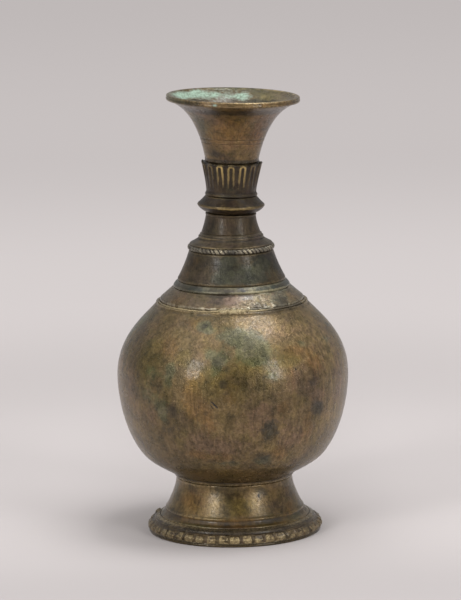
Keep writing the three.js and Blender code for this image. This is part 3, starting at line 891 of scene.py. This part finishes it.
GOLDEN = palette("463a1d 695634 967e56 a8936c 1f1810", 0.5, 0.27, 0.49, 0.16)
TRUMPET = {**GOLDEN, "middle": "66512f", "light": "957749"}
SHOULDER = {**GOLDEN, "middle": "615036", "light": "8f8062", "worn": "aaa28b"}
STAND = palette("463a1d 69542d 937849 a8936c 1f1810", 0.5, 0.3, 0.49, 0.26)
DARK = palette("2b2417 463b28 65573e 7f6e4c 17130c", 0.4, 0.36, 0.3, 0.25)
FLANGE = {**DARK, "middle": "594e3e"}
CONE = {**DARK, "middle": "443726", "light": "62523a"}
SLEEVE = palette("241b11 3a2e1d 5a4a31 b39a63 20180e", 0.4, 0.33, 0.3, 0.25)
OXIDE = palette("2d291f 474234 67614f 8a8368 17130c", 0.4, 0.3, 0.4, 0.25)
BRIGHT = palette("372d1c 5b4b34 7e6b4b a28f68 281f16", 0.48, 0.27, 0.35, 0.2)
CORD = palette("35302a 565045 7a7364 a0967f 281f16", 0.48, 0.27, 0.35, 0.2)
SOLDERED = palette("342d20 564b37 807052 b8a67f 1c1912", 0.36, 0.34, 0.36, 0.25)
# The colour of dark stains, which also paints shade
STAIN_AND_SHADE_DARK = tone("1e1c19")
TINTS = {"green": (0.77, 1.03, 1.25, 1), "plum": (0.96, 0.88, 1.2, 1),
         "ember": (1.13, 0.99, 0.8, 1), "olive": (1.0, 1.05, 0.76, 1)}
print("tones:", len(GOLDEN), "values in each finish")

# %% The bronze recipe
# How strongly each layer covers what is below it, how high it stands, and how rough it is. The light
# over rubbed places also paints highlights, and the dark stains also paint shade.
LIGHT_SPOTS, RUB_AND_HIGHLIGHT_SHARE, ALL_OVER, STAIN_AND_SHADE_SHARE, GRIME, EVENED = 0.22, 0.55, 0.6, 0.6, 0.55, 0.8
GROOVE, GRAIN_HIGH, SPECK_HIGH, NICK_DEPTH, BUMP_HEIGHT = 0.2, 0.7, 0.6, 3.5, 0.00006
GRIME_DULL, PATCH_ROUGH, WORN_ROUGH, DULL_ROUGH, LEAST_COAT = 0.6, 0.1, -0.05, 0.4, 0.1


def stain_values(tree):
    """The values that the mesh keeps at its points, as sockets."""
    return {kind: add(tree, "Attribute", {"attribute_name": kind}).outputs["Fac"]
            for kind in ("stand", *STAINS)}


def nick_values(tree, nicks, broken):
    """The mask of all nicks together, or nothing where a section has none."""
    skin_map = add(tree, "UVMap", {"uv_map": "unrolled"}).outputs[0]
    return largest(tree, (
        use(tree, nick, Vector=skin_map, Break=broken, Place=(u, v, 0), Size=(length, width, 1),
            Angle=(0, 0, math.radians(angle)))["Mask"]
        for u, v, length, width, angle in nicks
    ))


def layered(tree, tones, place, old, kept, rub, rubbed):
    """The colours laid over each other: metal tones, a light tone over rubbed places and painted
    highlights, tints that multiply them, worn edges, dark stains and painted shade, and the grime in
    the grooves. A polished place keeps little of the fine mottling."""
    def over(below, mask, code, strength):
        """One of the finish's own tones, laid over what is below it."""
        return blend(tree, times(tree, mask, strength), below, tone(tones[code]))

    metal = blend(tree, old["Cloud"], tone(tones["deep"]), tone(tones["middle"]))
    metal = over(metal, old["Patch"], "light", LIGHT_SPOTS)
    # The light tone over rubbed places and painted highlights, in streaks
    rub_and_highlight_streaks = plus(tree, old["Streak"], 0.7, 0.3)
    metal = over(metal, times(tree, kept["bright"], rub_and_highlight_streaks), "light", RUB_AND_HIGHLIGHT_SHARE)
    for tint, everywhere in (("plum", old["Plum"]), ("olive", old["Ember"]), ("ember", None),
                             ("green", None)):
        mask = use(tree, blotch, Vector=place, Amount=kept[tint])["Mask"]
        if everywhere:
            mask = sums(tree, "MAXIMUM", mask, times(tree, everywhere, ALL_OVER))
        metal = blend(tree, mask, metal, TINTS[tint], "MULTIPLY")
    # Edges wear brighter where places are rubbed and where highlights are painted
    worn = plus(tree, kept["bright"], 1.0, rubbed)
    metal = over(metal, times(tree, rub["Worn"], worn), "worn", 1.0)
    # Dark stains and painted shade
    stain_and_shade_mask = use(tree, blotch, Vector=place, Amount=kept["dark"])["Mask"]
    metal = blend(tree, times(tree, stain_and_shade_mask, STAIN_AND_SHADE_SHARE), metal, STAIN_AND_SHADE_DARK)
    metal = over(metal, rub["Grime"], "grime", GRIME)
    to_even = times(tree, sums(tree, "SUBTRACT", 1.0, old["Shade"]), kept["polish"])
    shade = plus(tree, to_even, EVENED, old["Shade"])
    return add(tree, "HueSaturation", Value=shade, Color=metal).outputs[0]


def bronze(name, tones, edge, patches_per_metre, rubbed=0.2, grain=1.1, nicks=()):
    """A bronze finish: colour, roughness, metalness and bump all change over the surface. The
    edge is how far metal stands out before it wears, and rubbed is how bright it then is."""
    material, tree, shader = blank(name)
    place = add(tree, "TexCoord").outputs["Object"]
    kept = stain_values(tree)
    old = use(tree, patina, Vector=place, Patches_per_metre=patches_per_metre)
    rub = use(tree, wear, Stand=kept["stand"], Break=old["Patch"], Edge=edge, Depth=GROOVE)
    salts = use(tree, verdigris, Vector=place, Amount=kept["crust"])
    metal = layered(tree, tones, place, old, kept, rub, rubbed)
    metal = blend(tree, salts["Crust"], metal, salts["Crust colour"])
    height = plus(tree, old["Grain"], GRAIN_HIGH, times(tree, old["Speck"], SPECK_HIGH))
    height = plus(tree, salts["Crust"], salts["Height"], height)
    dull = sums(tree, "MAXIMUM", salts["Crust"], times(tree, rub["Grime"], GRIME_DULL))
    nicked = nick_values(tree, nicks, old["Grain"])
    if nicked:
        metal = blend(tree, nicked, metal, tone(tones["grime"]))
        height = plus(tree, nicked, -NICK_DEPTH, height)
        dull = sums(tree, "MAXIMUM", dull, nicked)
    rough = tones["rough"]
    for value, share in ((old["Patch"], PATCH_ROUGH), (rub["Worn"], WORN_ROUGH), (dull, DULL_ROUGH)):
        rough = plus(tree, value, share, rough)
    bump = add(tree, "Bump", Height=height, Strength=grain, Distance=BUMP_HEIGHT).outputs[0]
    coat = plus(tree, old["Speck"], tones["gloss"], tones["gloss"] * LEAST_COAT)
    for title, value in (
        ("Base Color", metal), ("Roughness", rough), ("Normal", bump), ("Coat Weight", coat),
        ("Metallic", plus(tree, dull, -tones["metal"], tones["metal"])),
        ("Specular IOR Level", tones["gloss"]), ("Coat Roughness", tones["coat"]),
    ):
        feed(tree, value, shader.inputs[title])
    print("finish", name, "with", len(tree.nodes), "nodes")
    return material


# %% [markdown]
# ## Where the stains are
# Most of these patches are on the front of the real vase, and some of the light and dark ones are
# painted highlights and painted shade instead. Angles are in degrees from the front, the rest in
# millimetres: the height, the half width and the half height, and then the strength.
# The back is not seen, so it gets a scatter of the same kinds.

# %% Stains of the belly
BACK, ALL_ROUND = (75, 285), (0, 360)
belly_stains = {
    "green": [
        (0, 107.5, 8, 3, 0.8), (9, 105, 10, 4, 0.8), (13, 100, 10, 4, 0.7), (12, 96.5, 9, 3.5, 0.8),
        (-7, 96.5, 4.5, 4, 0.9), (-13, 99, 3, 2.5, 0.7), (-19, 111, 3.4, 2.0, 1.8),
        (-15, 109, 2.4, 1.6, 1.0), (-33, 91, 3, 4, 0.9), (-34, 85, 3, 3, 0.8), (-45, 88, 6, 5, 0.6),
        (-52, 101, 6, 3, 0.4), (-38, 73, 4, 5, 0.75), (-47, 76, 5, 5, 0.6), (-37, 66.5, 4, 4, 0.6),
        (-9, 90.5, 3, 4, 0.6), (20, 88, 5, 3, 0.6), (64, 100.4, 5, 3, 0.5), (42, 101, 4, 2.2, 0.6),
        (19, 61, 6, 6, 0.6), (17, 45, 6, 3, 0.8), (-4, 44, 8, 2, 0.5), (46, 71, 5, 5, 0.5),
        *scatter(101, 24, BACK, (45, 112), (2.5, 8), (0.4, 0.9)),
    ],
    "plum": [
        (36, 84, 10, 9, 0.8), (14, 68, 10, 10, 0.8), (-60, 82, 9, 18, 0.7), (50, 90, 7, 6, 0.4),
        (46.5, 74, 6, 6, 0.8), (-18, 55, 12, 8, 0.6), (32, 56, 10, 9, 0.7), (66, 80, 9, 16, 0.7),
        (-2, 52, 12, 8, 0.5), (-70, 105, 9, 8, 0.5), (-45, 68, 6, 9, 0.5), (70, 105, 8, 8, 0.4),
        *scatter(111, 14, BACK, (45, 108), (5, 12), (0.4, 0.8)),
    ],
    "ember": [
        (-19, 89, 5, 4, 0.8), (-37, 101, 6, 5, 0.9), (-20, 76, 6, 11, 0.9), (46, 92, 6, 5, 0.9),
        (36, 99, 7, 3, 0.9), (25, 72, 4, 5, 0.6), (-2, 80, 5, 6, 0.6), (-28, 112, 6, 3, 0.6),
        (26, 48, 6, 5, 0.7), (-20, 48, 8, 3, 0.7), (41, 62, 4, 12, 0.7), (-6, 47, 5, 3, 0.7),
        (30, 88, 3, 8, 0.5), (-12, 66, 4, 8, 0.6),
        *scatter(112, 16, BACK, (42, 112), (4, 9), (0.4, 0.9)),
    ],
    "olive": [
        (-46, 97, 6, 6, 0.8), (-26, 97, 5, 4, 0.9), (-13, 86, 8, 7, 0.9), (10, 92, 10, 5, 0.9),
        (4, 80, 6, 5, 0.8), (-36, 78, 6, 8, 0.6), (30, 95, 8, 4, 0.9), (0, 100, 12, 5, 0.4),
        (20, 52, 6, 4, 0.5), (-52, 88, 12, 16, 0.7), (-10, 84, 12, 10, 0.4),
        *scatter(117, 16, BACK, (42, 112), (4, 10), (0.4, 0.9)),
    ],
    # Dark spots and stains; (31, 86) is painted shade that dims the right highlight
    "dark": [
        (-5.2, 85.2, 2.2, 2.4, 1.0), (-19, 111, 2.6, 1.4, 0.8), (46.5, 69.4, 4.5, 4, 1.2),
        (42.6, 83, 3, 3, 0.7), (19, 61, 5, 5.5, 1.1), (16, 46.5, 6, 3.5, 0.8),
        (-38, 81.5, 3, 5, 0.5), (24, 116.6, 8, 0.8, 0.9), (42, 116.8, 10, 0.8, 0.9),
        (64, 116.8, 10, 0.8, 0.7), (-9, 97, 4, 3, 0.4), (-4, 93, 6, 3, 0.4), (-31, 70.5, 5, 4, 0.8),
        (-34, 61, 5, 6, 0.5), (-44, 84, 4, 6, 0.3), (-5, 45, 10, 2, 0.4), (31, 86, 5, 5, 0.25),
        *scatter(102, 26, BACK, (40, 108), (2.5, 7), (0.4, 1.0)),
    ],
    # Rubbed places; on the upper right, (24, 109), (34, 101) and (55, 100) are painted highlights where
    # the lights shine
    "bright": [
        (-19, 76, 8, 13, 0.7), (24, 109, 12, 5, 0.4), (34, 101, 9, 7, 0.4), (55, 100, 16, 14, 1.2),
        (-15, 109.4, 2.4, 1.2, 1.0), (30, 55, 16, 14, 0.8), (0, 56, 16, 12, 0.5),
        (-45, 117, 22, 0.9, 0.5), (-20, 106, 12, 6, 0.6), (62, 72, 12, 24, 0.9),
        (-20, 54, 12, 10, 0.3), (22, 84, 8, 10, 0.1),
        *scatter(103, 14, BACK, (50, 112), (5, 12), (0.3, 0.8)),
    ],
}
print("belly:", sum(map(len, belly_stains.values())), "patches")

# %% [markdown]
# ## Stains of the shoulder and the lower neck
# Green lies in the corners above the cap and the ring, and the solder has worn bright where it stands
# up. The ring is smoother than the rest, so it is polished all round. Painted highlights lie on the
# ring, on the steps of the flange and on the notched band, where the lights shine on them, with painted
# shade between those of the band.

# %% Stains of the shoulder and the lower neck
neck_green = scatter(104, 16, BACK, (118, 150), (2, 7), (0.4, 0.9))
neck_plum = scatter(113, 16, ALL_ROUND, (118, 150), (3, 7), (0.3, 0.8))
bell_stains = {
    "green": [(-4, 136.6, 6, 5, 0.9), (16, 133, 8, 4, 0.9), (44, 138, 7, 5, 1.0),
              (-12, 131, 5, 3, 0.7), (-3, 141, 5, 2, 0.5), (30, 131, 7, 2, 0.7), *neck_green],
    "plum": neck_plum,
    "ember": [(-70, 133.5, 6, 6, 0.9), (-55, 139, 5, 3, 0.6), (6, 138, 3, 3, 0.5)],
    "dark": scatter(105, 16, ALL_ROUND, (128, 146), (2, 5), (0.3, 0.8)),
    # Painted highlights on the steps of the flange, which shares these stains
    "bright": [(-48, 148.6, 5, 1.6, 1.2), (-30, 146.2, 5, 0.8, 0.8), (30, 147.2, 10, 1.2, 0.5)],
}
# Painted highlights where the lights shine on the notches, and painted shade on the front between them
band_stains = {
    "bright": [(-17, 144.3, 3.0, 3, 1.0), (24, 144.3, 3.5, 3, 0.9), (62, 144.3, 5, 3, 0.3)],
    "dark": [(3, 144.3, 4, 2, 0.7)],
}
cap_stains = {
    "green": [(-40, 126, 6, 1.6, 1.0), (40, 126, 9, 1.6, 1.0), (60, 125.5, 6, 1.6, 0.8),
              (0, 126, 6, 1, 0.6), (44, 121.5, 10, 3.5, 0.5), (12, 123, 6, 1.5, 0.5),
              *neck_green],
    "plum": [(-35, 121, 14, 3, 0.4), (-5, 122, 10, 2, 0.5), *neck_plum],
    "ember": [(-52, 120, 6, 3, 0.7), (-15, 118.6, 8, 1, 0.7), (62, 121, 5, 3, 0.6)],
    "dark": [(39, 117.8, 5, 1.0, 0.6), (0, 123.8, 16, 0.5, 0.7), (-36, 121, 12, 2.5, 0.25),
             *scatter(106, 12, ALL_ROUND, (117, 125), (2, 5), (0.3, 0.8))],
    # Rubbed solder; (22, 126.3) and (-30, 126.6) paint the ring's highlights
    "bright": [(30, 121, 18, 5, 1.8), (22, 126.3, 6, 0.6, 0.3), (-30, 126.6, 3, 0.7, 0.6),
               (-20, 118.6, 8, 1.0, 0.4), (-50, 118.2, 16, 0.6, 0.25)],
}
ring_stains = {
    **cap_stains,
    "green": [(-38, 126, 8, 3, 0.45), (36, 126, 16, 3, 0.5),
              *scatter(118, 8, BACK, (125, 127.5), (4, 8), (0.3, 0.6))],
    "polish": belt(range(0, 360, 24), 126, 12, 4, 0.5),
}
seam_stains = {
    "bright": [(-45, 117.4, 20, 2, 0.5), (0, 117.6, 9, 3, 0.6), (24, 117.6, 7, 2, 0.6),
               (140, 117.6, 8, 2, 0.6)],
    "green": [(-4, 117.6, 6, 2, 1.1)],
    "dark": belt((33, 42, 52, 60), 117.4, 6, 1.5, 0.7),
    "ember": [(-30, 117.4, 22, 2, 0.9)],
}
print("cap:", sum(map(len, cap_stains.values())), "patches")

# %% [markdown]
# ## Stains of the foot
# The flange's edge and the corner above the tongues are darker. Painted highlights lie on the waist at
# the left and on the tongues at the front, and painted shade dims the waist's right highlight.

# %% Stains of the foot
foot_stains = {
    "green": [(58, 10, 8, 1.6, 0.8), (-33, 8.6, 14, 0.9, 0.6),
              *scatter(107, 12, BACK, (4, 24), (3, 7), (0.3, 0.8))],
    "olive": [(5, 18, 9, 6, 0.8), (-30, 12, 10, 2, 0.6)],
    "plum": [(40, 16, 9, 5, 0.6), (-40, 24, 8, 3, 0.6), (4, 8.4, 14, 1.0, 0.8), (62, 22, 6, 5, 0.6)],
    "ember": [(-50, 20, 8, 4, 0.6), (5, 10.5, 22, 1.5, 0.9), (-40, 10.5, 16, 1.5, 0.8),
              *scatter(114, 12, ALL_ROUND, (9, 26), (3, 7), (0.3, 0.8))],
    # Darker at the flange's edge and in the corner above the tongues; (27, 17) is painted shade that
    # dims the waist's right highlight
    "dark": [*belt(range(0, 360, 20), 1.1, 12, 0.8, 1.1), *belt(range(-30, 31, 15), 6.9, 12, 1.1, 0.8),
             *belt(range(50, 320, 20), 6.9, 12, 1.1, 0.3),
             (-60, 12, 12, 3, 0.6), (-2, 9.5, 10, 1.2, 0.6), (30, 10.5, 9, 1.5, 0.6),
             (27, 17, 4, 6, 0.25), *scatter(108, 14, ALL_ROUND, (8, 27), (3, 7), (0.2, 0.7))],
    # Painted highlights on the waist at the left and on the tongues at the front
    "bright": [(-50, 18, 12, 9, 0.8), (0, 3.4, 20, 3, 0.6)],
}
print("foot:", sum(map(len, foot_stains.values())), "patches")

# %% [markdown]
# ## Stains of the upper neck and the mouth
# The arches' tips are rubbed, some more than others, and the tips that face the lights are brightest,
# partly as painted highlights; two painted glints lie above the knop's crest. The ledge above them is
# black with dirt and painted shade. Painted shade lies under the lip, a painted highlight runs along
# the lip's top edge, and painted light brightens the inner wall at the back right. Salts have grown
# inside the rim, where water stood or flowers leaned.

# %% Stains of the upper neck and the mouth
ARCHES = [math.degrees(PETAL_TURN) + 360 / PETALS * k for k in range(PETALS)]
# How rubbed each tip is; the brightest face the lights and are partly painted highlights
TIPS_RUBBED_AND_LIT = (0.6, 0.9, 0.3, 0.1, 0.5, 0.8, 0.3, 0.6, 0.2, 0.7, 0.4, 0.1, 0.2, 0.2, 1.0)
collar_stains = {
    "green": [(70, 186.3, 3, 0.8, 0.9), (-20, 170.4, 4, 0.8, 0.9), (0, 175, 5, 4, 0.5)],
    "plum": scatter(115, 16, ALL_ROUND, (162, 187), (2, 5), (0.4, 0.9)),
    "ember": [(-75, 165.3, 4, 1.4, 1.4), (62, 165, 4, 1.2, 1.0), (-60, 186.6, 4, 0.6, 0.8)],
    # Dirt and painted shade on the ledge under the funnel, and dark stains
    "dark": [*belt([turn + 12 for turn in ARCHES], 187.0, 3.4, 0.9, 2.0),
             *belt(ARCHES, 187.2, 3.4, 0.7, 1.2), (8, 170.5, 7, 1.0, 1.0), (48, 170.5, 6, 1.0, 0.9),
             *scatter(109, 16, ALL_ROUND, (162, 186), (1.5, 4), (0.2, 0.7))],
    # Rubbed tips, partly painted highlights; (-14, 181) and (24, 181) are painted highlights on the
    # collar, and (-16, 166.6) and (30, 166.6) painted glints above the knop's crest
    "bright": [*((turn, 185.2, 2.2, 1.9, rubbed) for turn, rubbed in zip(ARCHES, TIPS_RUBBED_AND_LIT)),
               (-14, 181, 5, 5, 0.5), (24, 181, 3, 5, 0.4), (2, 164.9, 12, 0.5, 0.6),
               (-16, 166.6, 2.5, 0.5, 1.0), (30, 166.6, 3.5, 0.6, 0.8)],
}
funnel_stains = {
    "crust": [(-130, 217.2, 14, 1.6, 1.1), (-114, 218.5, 8, 1.6, 1.0), (169, 216.2, 5.5, 1.8, 1.15),
              (-142, 219.0, 5, 1.3, 0.7), (-165, 217.0, 12, 4, 0.6), (-95, 219.5, 8, 1.2, 0.6),
              (-15.5, 218.6, 1.2, 0.7, 1.3)],
    "green": [(-60, 219, 12, 1.6, 0.8), (-100, 216, 18, 8, 0.7), (140, 216, 20, 8, 0.7),
              (-50, 205, 8, 10, 0.5), (180, 219.6, 24, 1.2, 0.8), (112, 218.5, 12, 2, 0.5)],
    "plum": [(-30, 211, 12, 5, 0.6), (50, 206, 9, 12, 0.7), (60, 216, 8, 2, 0.5),
             (122, 217, 16, 4, 0.3), (105, 219, 14, 2, 0.5),
             *scatter(116, 12, ALL_ROUND, (188, 216), (4, 9), (0.3, 0.8))],
    "ember": [(2, 205, 10, 6, 0.9), (30, 213, 8, 3, 0.5), (26, 219, 3, 1, 1.2),
              (-40, 200, 8, 8, 0.5), (45, 200, 6, 8, 0.5)],
    # Stains and dirt; the row at 187.7 is dirt and painted shade at the funnel's foot, and the row at
    # 214.2 painted shade under the lip
    "dark": [(-40, 218.2, 14, 1.3, 0.6), (-173, 217.0, 2.5, 0.8, 1.0), (-30, 192, 6, 2, 0.5),
             *belt(range(0, 360, 24), 187.7, 5, 1.0, 1.4), *belt(range(0, 360, 24), 214.2, 9, 1.5, 0.7),
             *scatter(110, 16, BACK, (188, 218), (2, 6), (0.2, 0.6)), (-45, 196, 5, 5, 0.4)],
    # A painted highlight along the lip's top edge at (22, 220.0), painted light on the inner wall at
    # the back right at (122, 217.4), and a lighter place on the front of the trumpet
    "bright": [(0, 203, 10, 8, 0.5), (122, 217.4, 14, 3, 2.2), (22, 220.0, 14, 0.45, 0.9)],
    "polish": [*belt(range(0, 360, 24), 218.7, 16, 1.6, 0.5), (122, 217, 16, 4, 0.9)],
}
print("mouth:", sum(map(len, funnel_stains.values())), "patches")

# %% [markdown]
# ## Nicks on the front
# A deep diagonal scratch with a fainter one beside it and a black pit are on the belly, and
# one pit is in the waist of the foot. Single deep pits like these come from bubbles in the
# casting, so a few more are strewn over the other sides.

# %% Nicks
def nick_rows(form, rows):
    """Place on the unrolled skin, half length, half width and angle of each nick."""
    return [(*skin_place(form, turn, height), *shape) for turn, height, *shape in rows]


belly_nicks = nick_rows(belly, [
    (-9.3, 74.9, 3.0, 0.5, -46), (-10.6, 74.6, 1.5, 0.28, -52), (33, 90.6, 0.65, 0.6, 0),
    (118, 86, 0.7, 0.6, 0), (171, 70, 4.2, 0.25, 38), (214, 95, 0.6, 0.6, 0),
    (250, 62, 3.1, 0.22, -20),
])
foot_nicks = nick_rows(foot, [(23.3, 22.4, 1.15, 0.55, 78), (140, 18, 0.7, 0.5, 20)])
print(len(belly_nicks) + len(foot_nicks), "nicks")

# %% [markdown]
# ## Put the sections on the frame
# Each surface stands for the CAD solid in the same place: it replaces that node in the picture and
# rides on the vase's one body.

# %% Dress the frame
def dress(node, form, finish, stains, leaning):
    """Makes the section's surface, gives it its finish and puts it in the node's place."""
    piece = surface(node + "_skin", form, leaning, **stains)
    piece.data.materials.append(finish)
    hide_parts(node)
    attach(piece, "root")


LEANING = ("neck_cone", "knop", "petal_collar", "mouth_funnel")
# Node, form, slot and stains, then what the finish takes: its name, its tones, the edge,
# patches per metre, how rubbed, the grain and the nicks
SECTIONS = (
    ("foot_pedestal", foot, "golden_bronze", foot_stains,
     "foot_bronze", STAND, 0.45, 90, 0.05, 0.5, foot_nicks),
    ("foot_border", border, "worn_brass", foot_stains, "border_brass", BRIGHT, 0.22, 160, 0.36),
    ("foot_solder", root_solder, "solder", {}, "root_solder", SOLDERED, 0.3, 160),
    ("belly", belly, "golden_bronze", belly_stains,
     "belly_bronze", GOLDEN, 0.2, 90, 0.2, 1.1, belly_nicks),
    ("shoulder_cap", cap, "golden_bronze", cap_stains, "cap_bronze", SHOULDER, 0.45, 110),
    ("shoulder_solder", solder, "solder", seam_stains, "seam_solder", SOLDERED, 0.3, 200),
    ("shoulder_ring", ring, "dark_bronze", ring_stains, "ring_bronze", OXIDE, 0.2, 90),
    ("neck_bell", bell, "dark_bronze", bell_stains, "bell_bronze", DARK, 0.35, 90),
    ("stepped_flange", flange, "dark_bronze", bell_stains, "flange_bronze", FLANGE, 0.2, 120, 0.1),
    ("notched_band", band, "worn_brass", band_stains, "band_brass", CORD, 0.15, 160),
    ("neck_cone", cone, "dark_bronze", collar_stains, "cone_bronze", CONE, 0.3, 120, 0.1),
    ("knop", knop, "dark_bronze", collar_stains, "knop_bronze", SLEEVE, 0.25, 120, 0.15),
    ("petal_collar", collar, "dark_bronze", collar_stains,
     "collar_bronze", SLEEVE, 0.15, 160, 0.08),
    ("mouth_funnel", funnel, "golden_bronze", funnel_stains,
     "funnel_bronze", TRUMPET, 0.3, 110, 0.15),
)
for node, form, slot, stains, *finish in SECTIONS:
    dress(node, form, bronze(*finish), stains, node in LEANING)

# %% [markdown]
# ## Floor
# The photograph has a pale grey surface that runs back without a seam. A wide round floor gives that
# from every side. Its colour changes slowly with the distance from the vase, which paints the fall-off
# of the studio light, lightest about 0.66 m away. Painted light makes it a little lighter close to both
# sides of the vase, and a painted shadow makes it a little darker in front. Far away it shows its
# colour without any shading, so that it runs into the background.

# %% Pale floor
FLOOR_RADIUS, RINGS, SPOKES = 8.0, 40, 96


def pale_floor():
    """Rings of points round the vase, wider and wider apart, and one face inside the first."""
    turn = np.linspace(0, 2 * np.pi, SPOKES, endpoint=False)[None, :]
    radius = np.geomspace(0.02, FLOOR_RADIUS, RINGS)[:, None]
    flat = np.zeros((RINGS, SPOKES))
    points = np.stack([radius * np.cos(turn), radius * np.sin(turn), flat], -1)
    faces, _, _ = grid_faces(RINGS, SPOKES, False)
    mesh = bpy.data.meshes.new("pale_floor")
    mesh.from_pydata(points.reshape(-1, 3), [], [*faces.tolist(), list(range(SPOKES))])
    return shown("pale_floor", mesh)


floor = pale_floor()
print("floor:", len(floor.data.polygons), "faces")

# %% Floor paint
# Greys by the distance from the vase, as a share of the ramp's length, painting the light's fall-off,
# then the two painted changes: light beside the vase and a shadow in front of it
RAMP_LENGTH, PAINTED_LIGHT_SHARE = 4.0, 0.4
FLOOR_GREYS = ((0.03, 0.525), (0.08, 0.56), (0.166, 0.685), (0.36, 0.575), (0.73, 0.52))
PAINTED_LIGHT_GREY, PAINTED_SHADOW_GREY = (0.72, 0.67, 0.662, 1), (0.42, 0.391, 0.39, 1)
floor_paint, tree, paper = blank("floor_paint")
place = add(tree, "TexCoord").outputs["Object"]
away = add(tree, "VectorMath", {"operation": "LENGTH"}, Vector=place).outputs["Value"]
ramp = add(tree, "ValToRGB", Fac=sums(tree, "DIVIDE", away, RAMP_LENGTH))
ramp.color_ramp.interpolation = "EASE"
stops = ramp.color_ramp.elements
while len(stops) < len(FLOOR_GREYS):
    stops.new(1.0)
for stop, (where, grey) in zip(stops, FLOOR_GREYS):
    stop.position = where
    stop.color = (grey, grey * 0.93, grey * 0.92, 1)
sideways, ahead, _ = add(tree, "SeparateXYZ", Vector=place).outputs
# Painted light beside the vase and a painted shadow in front of it
beside = window(tree, sums(tree, "ABSOLUTE", sideways), 0.02, 0.1)
painted_light = times(tree, beside, window(tree, away, 0.5, 0.1))
painted_light = times(tree, painted_light, window(tree, ahead, -0.15, 0.0))
painted_shadow = times(tree, window(tree, ahead, 0.0, -0.14), window(tree, away, 0.5, 0.15))
greys = blend(tree, times(tree, painted_light, PAINTED_LIGHT_SHARE), ramp.outputs[0], PAINTED_LIGHT_GREY)
greys = blend(tree, times(tree, painted_shadow, PAINTED_LIGHT_SHARE), greys, PAINTED_SHADOW_GREY)
paper.inputs["Roughness"].default_value = 0.9
paper.inputs["Specular IOR Level"].default_value = 0.1
feed(tree, greys, paper.inputs["Base Color"])

# %% Far floor without shading
rays = add(tree, "LightPath").outputs
seen = sums(tree, "MAXIMUM", rays["Is Camera Ray"],
            sums(tree, "MAXIMUM", rays["Is Glossy Ray"], rays["Is Transmission Ray"]))
mixed = add(tree, "MixShader")
backdrop = add(tree, "Emission", Color=greys)
far = times(tree, seen, window(tree, away, 0.25, 0.9))
for value, socket in zip((far, paper.outputs[0], backdrop.outputs[0]), mixed.inputs):
    feed(tree, value, socket)
feed(tree, mixed.outputs[0], tree.nodes["Material Output"].inputs["Surface"])
floor.data.materials.append(floor_paint)
print("floor paint:", len(tree.nodes), "nodes")

# %% [markdown]
# ## Light
# Two tall soft lights stand in front, left and right. The belly shows each as an upright
# highlight. A square one lights the right from high up, and a wide one like a ceiling fills
# the shadows. The room itself is a plain pale grey, darker on the camera's side.

# %% Soft lights
AIM_HEIGHT = 0.09


def placed(axes, spot):
    """The matrix whose columns are the three axes and the spot."""
    rows = [[*row, p] for row, p in zip(np.stack(axes, 1), spot)]
    return Matrix([*rows, [0, 0, 0, 1]])


def soft_light(name, turn, elevation, distance, width, height, power):
    """A rectangle of light that faces the belly, placed by its angle from the front."""
    light = bpy.data.lights.new(name, "AREA")
    light.shape, light.size, light.size_y, light.energy = "RECTANGLE", width, height, power
    a, e = math.radians(turn), math.radians(elevation)
    back = np.array([math.sin(a) * math.cos(e), -math.cos(a) * math.cos(e), math.sin(e)])
    side = np.cross([0, 0, 1], back)
    side /= np.linalg.norm(side)
    spot = back * distance + [0, 0, AIM_HEIGHT]
    shown(name, light).matrix_world = placed([side, np.cross(back, side), back], spot)


# Turn and elevation in degrees, distance, width and height in metres, and power in watts
LIGHTS = (
    ("left_light", -41, 24, 1.6, 0.34, 0.75, 9),
    ("right_light", 43, 21, 1.6, 0.4, 0.8, 9),
    ("top_light", 80, 73, 1.8, 0.85, 0.85, 16),
    ("ceiling", -50, 72, 2.0, 2.8, 2.8, 22),
)
for light in LIGHTS:
    soft_light(*light)
print("lights:", [name for name, *_ in LIGHTS])

# %% A room that is darker on the camera's side
CAMERA_SIDE, ROOM_GREY = (0.05, -0.95, 0.3), (0.96, 0.95, 0.95, 1)
ROOM_STRENGTH, FRONT_STRENGTH = 0.38, 0.07
room = bpy.data.worlds.new("room")
bpy.context.scene.world = room
room.use_nodes = True
tree = room.node_tree
room_light = tree.nodes["Background"]
aim = add(tree, "TexCoord").outputs["Generated"]
to_front = add(tree, "VectorMath", {"operation": "DOT_PRODUCT"}, Vector=aim)
to_front.inputs[1].default_value = CAMERA_SIDE
lit = add(tree, "MapRange", {"interpolation_type": "SMOOTHSTEP"}, Value=to_front.outputs["Value"],
          From_Min=0.35, From_Max=0.95, To_Min=ROOM_STRENGTH, To_Max=FRONT_STRENGTH)
feed(tree, lit.outputs[0], room_light.inputs["Strength"])
feed(tree, ROOM_GREY, room_light.inputs["Color"])
print("room:", len(tree.nodes), "nodes")

# %% [markdown]
# ## Camera
# The place and turn of the camera were found by laying the outline of the CAD model over the
# outline in the photograph. It looks down by about ten degrees from 1.9 m away.

# %% Camera
LENS_PIXELS, PICTURE_HEIGHT, SENSOR = 3721.1, 600, 36
PITCH, YAW, ROLL = 0.173805, 0.00088371, -0.01409
CAMERA_SPOT = (-0.0022804, -1.83458, 0.438947)
forward = np.array([
    math.sin(YAW) * math.cos(PITCH), math.cos(YAW) * math.cos(PITCH), -math.sin(PITCH),
])
level = np.array([math.cos(YAW), -math.sin(YAW), 0])
upright = np.cross(level, forward)
to_right = math.cos(ROLL) * level + math.sin(ROLL) * upright
to_top = math.cos(ROLL) * upright - math.sin(ROLL) * level
lens = bpy.data.cameras.new("camera")
lens.sensor_width = SENSOR
lens.lens = LENS_PIXELS * SENSOR / PICTURE_HEIGHT
camera = shown("camera", lens)
camera.matrix_world = placed([to_right, to_top, -forward], CAMERA_SPOT)
bpy.context.scene.camera = camera
bpy.context.scene.view_settings.view_transform = "Standard"
print("camera", [round(v, 3) for v in CAMERA_SPOT], "lens", round(lens.lens, 1), "mm")
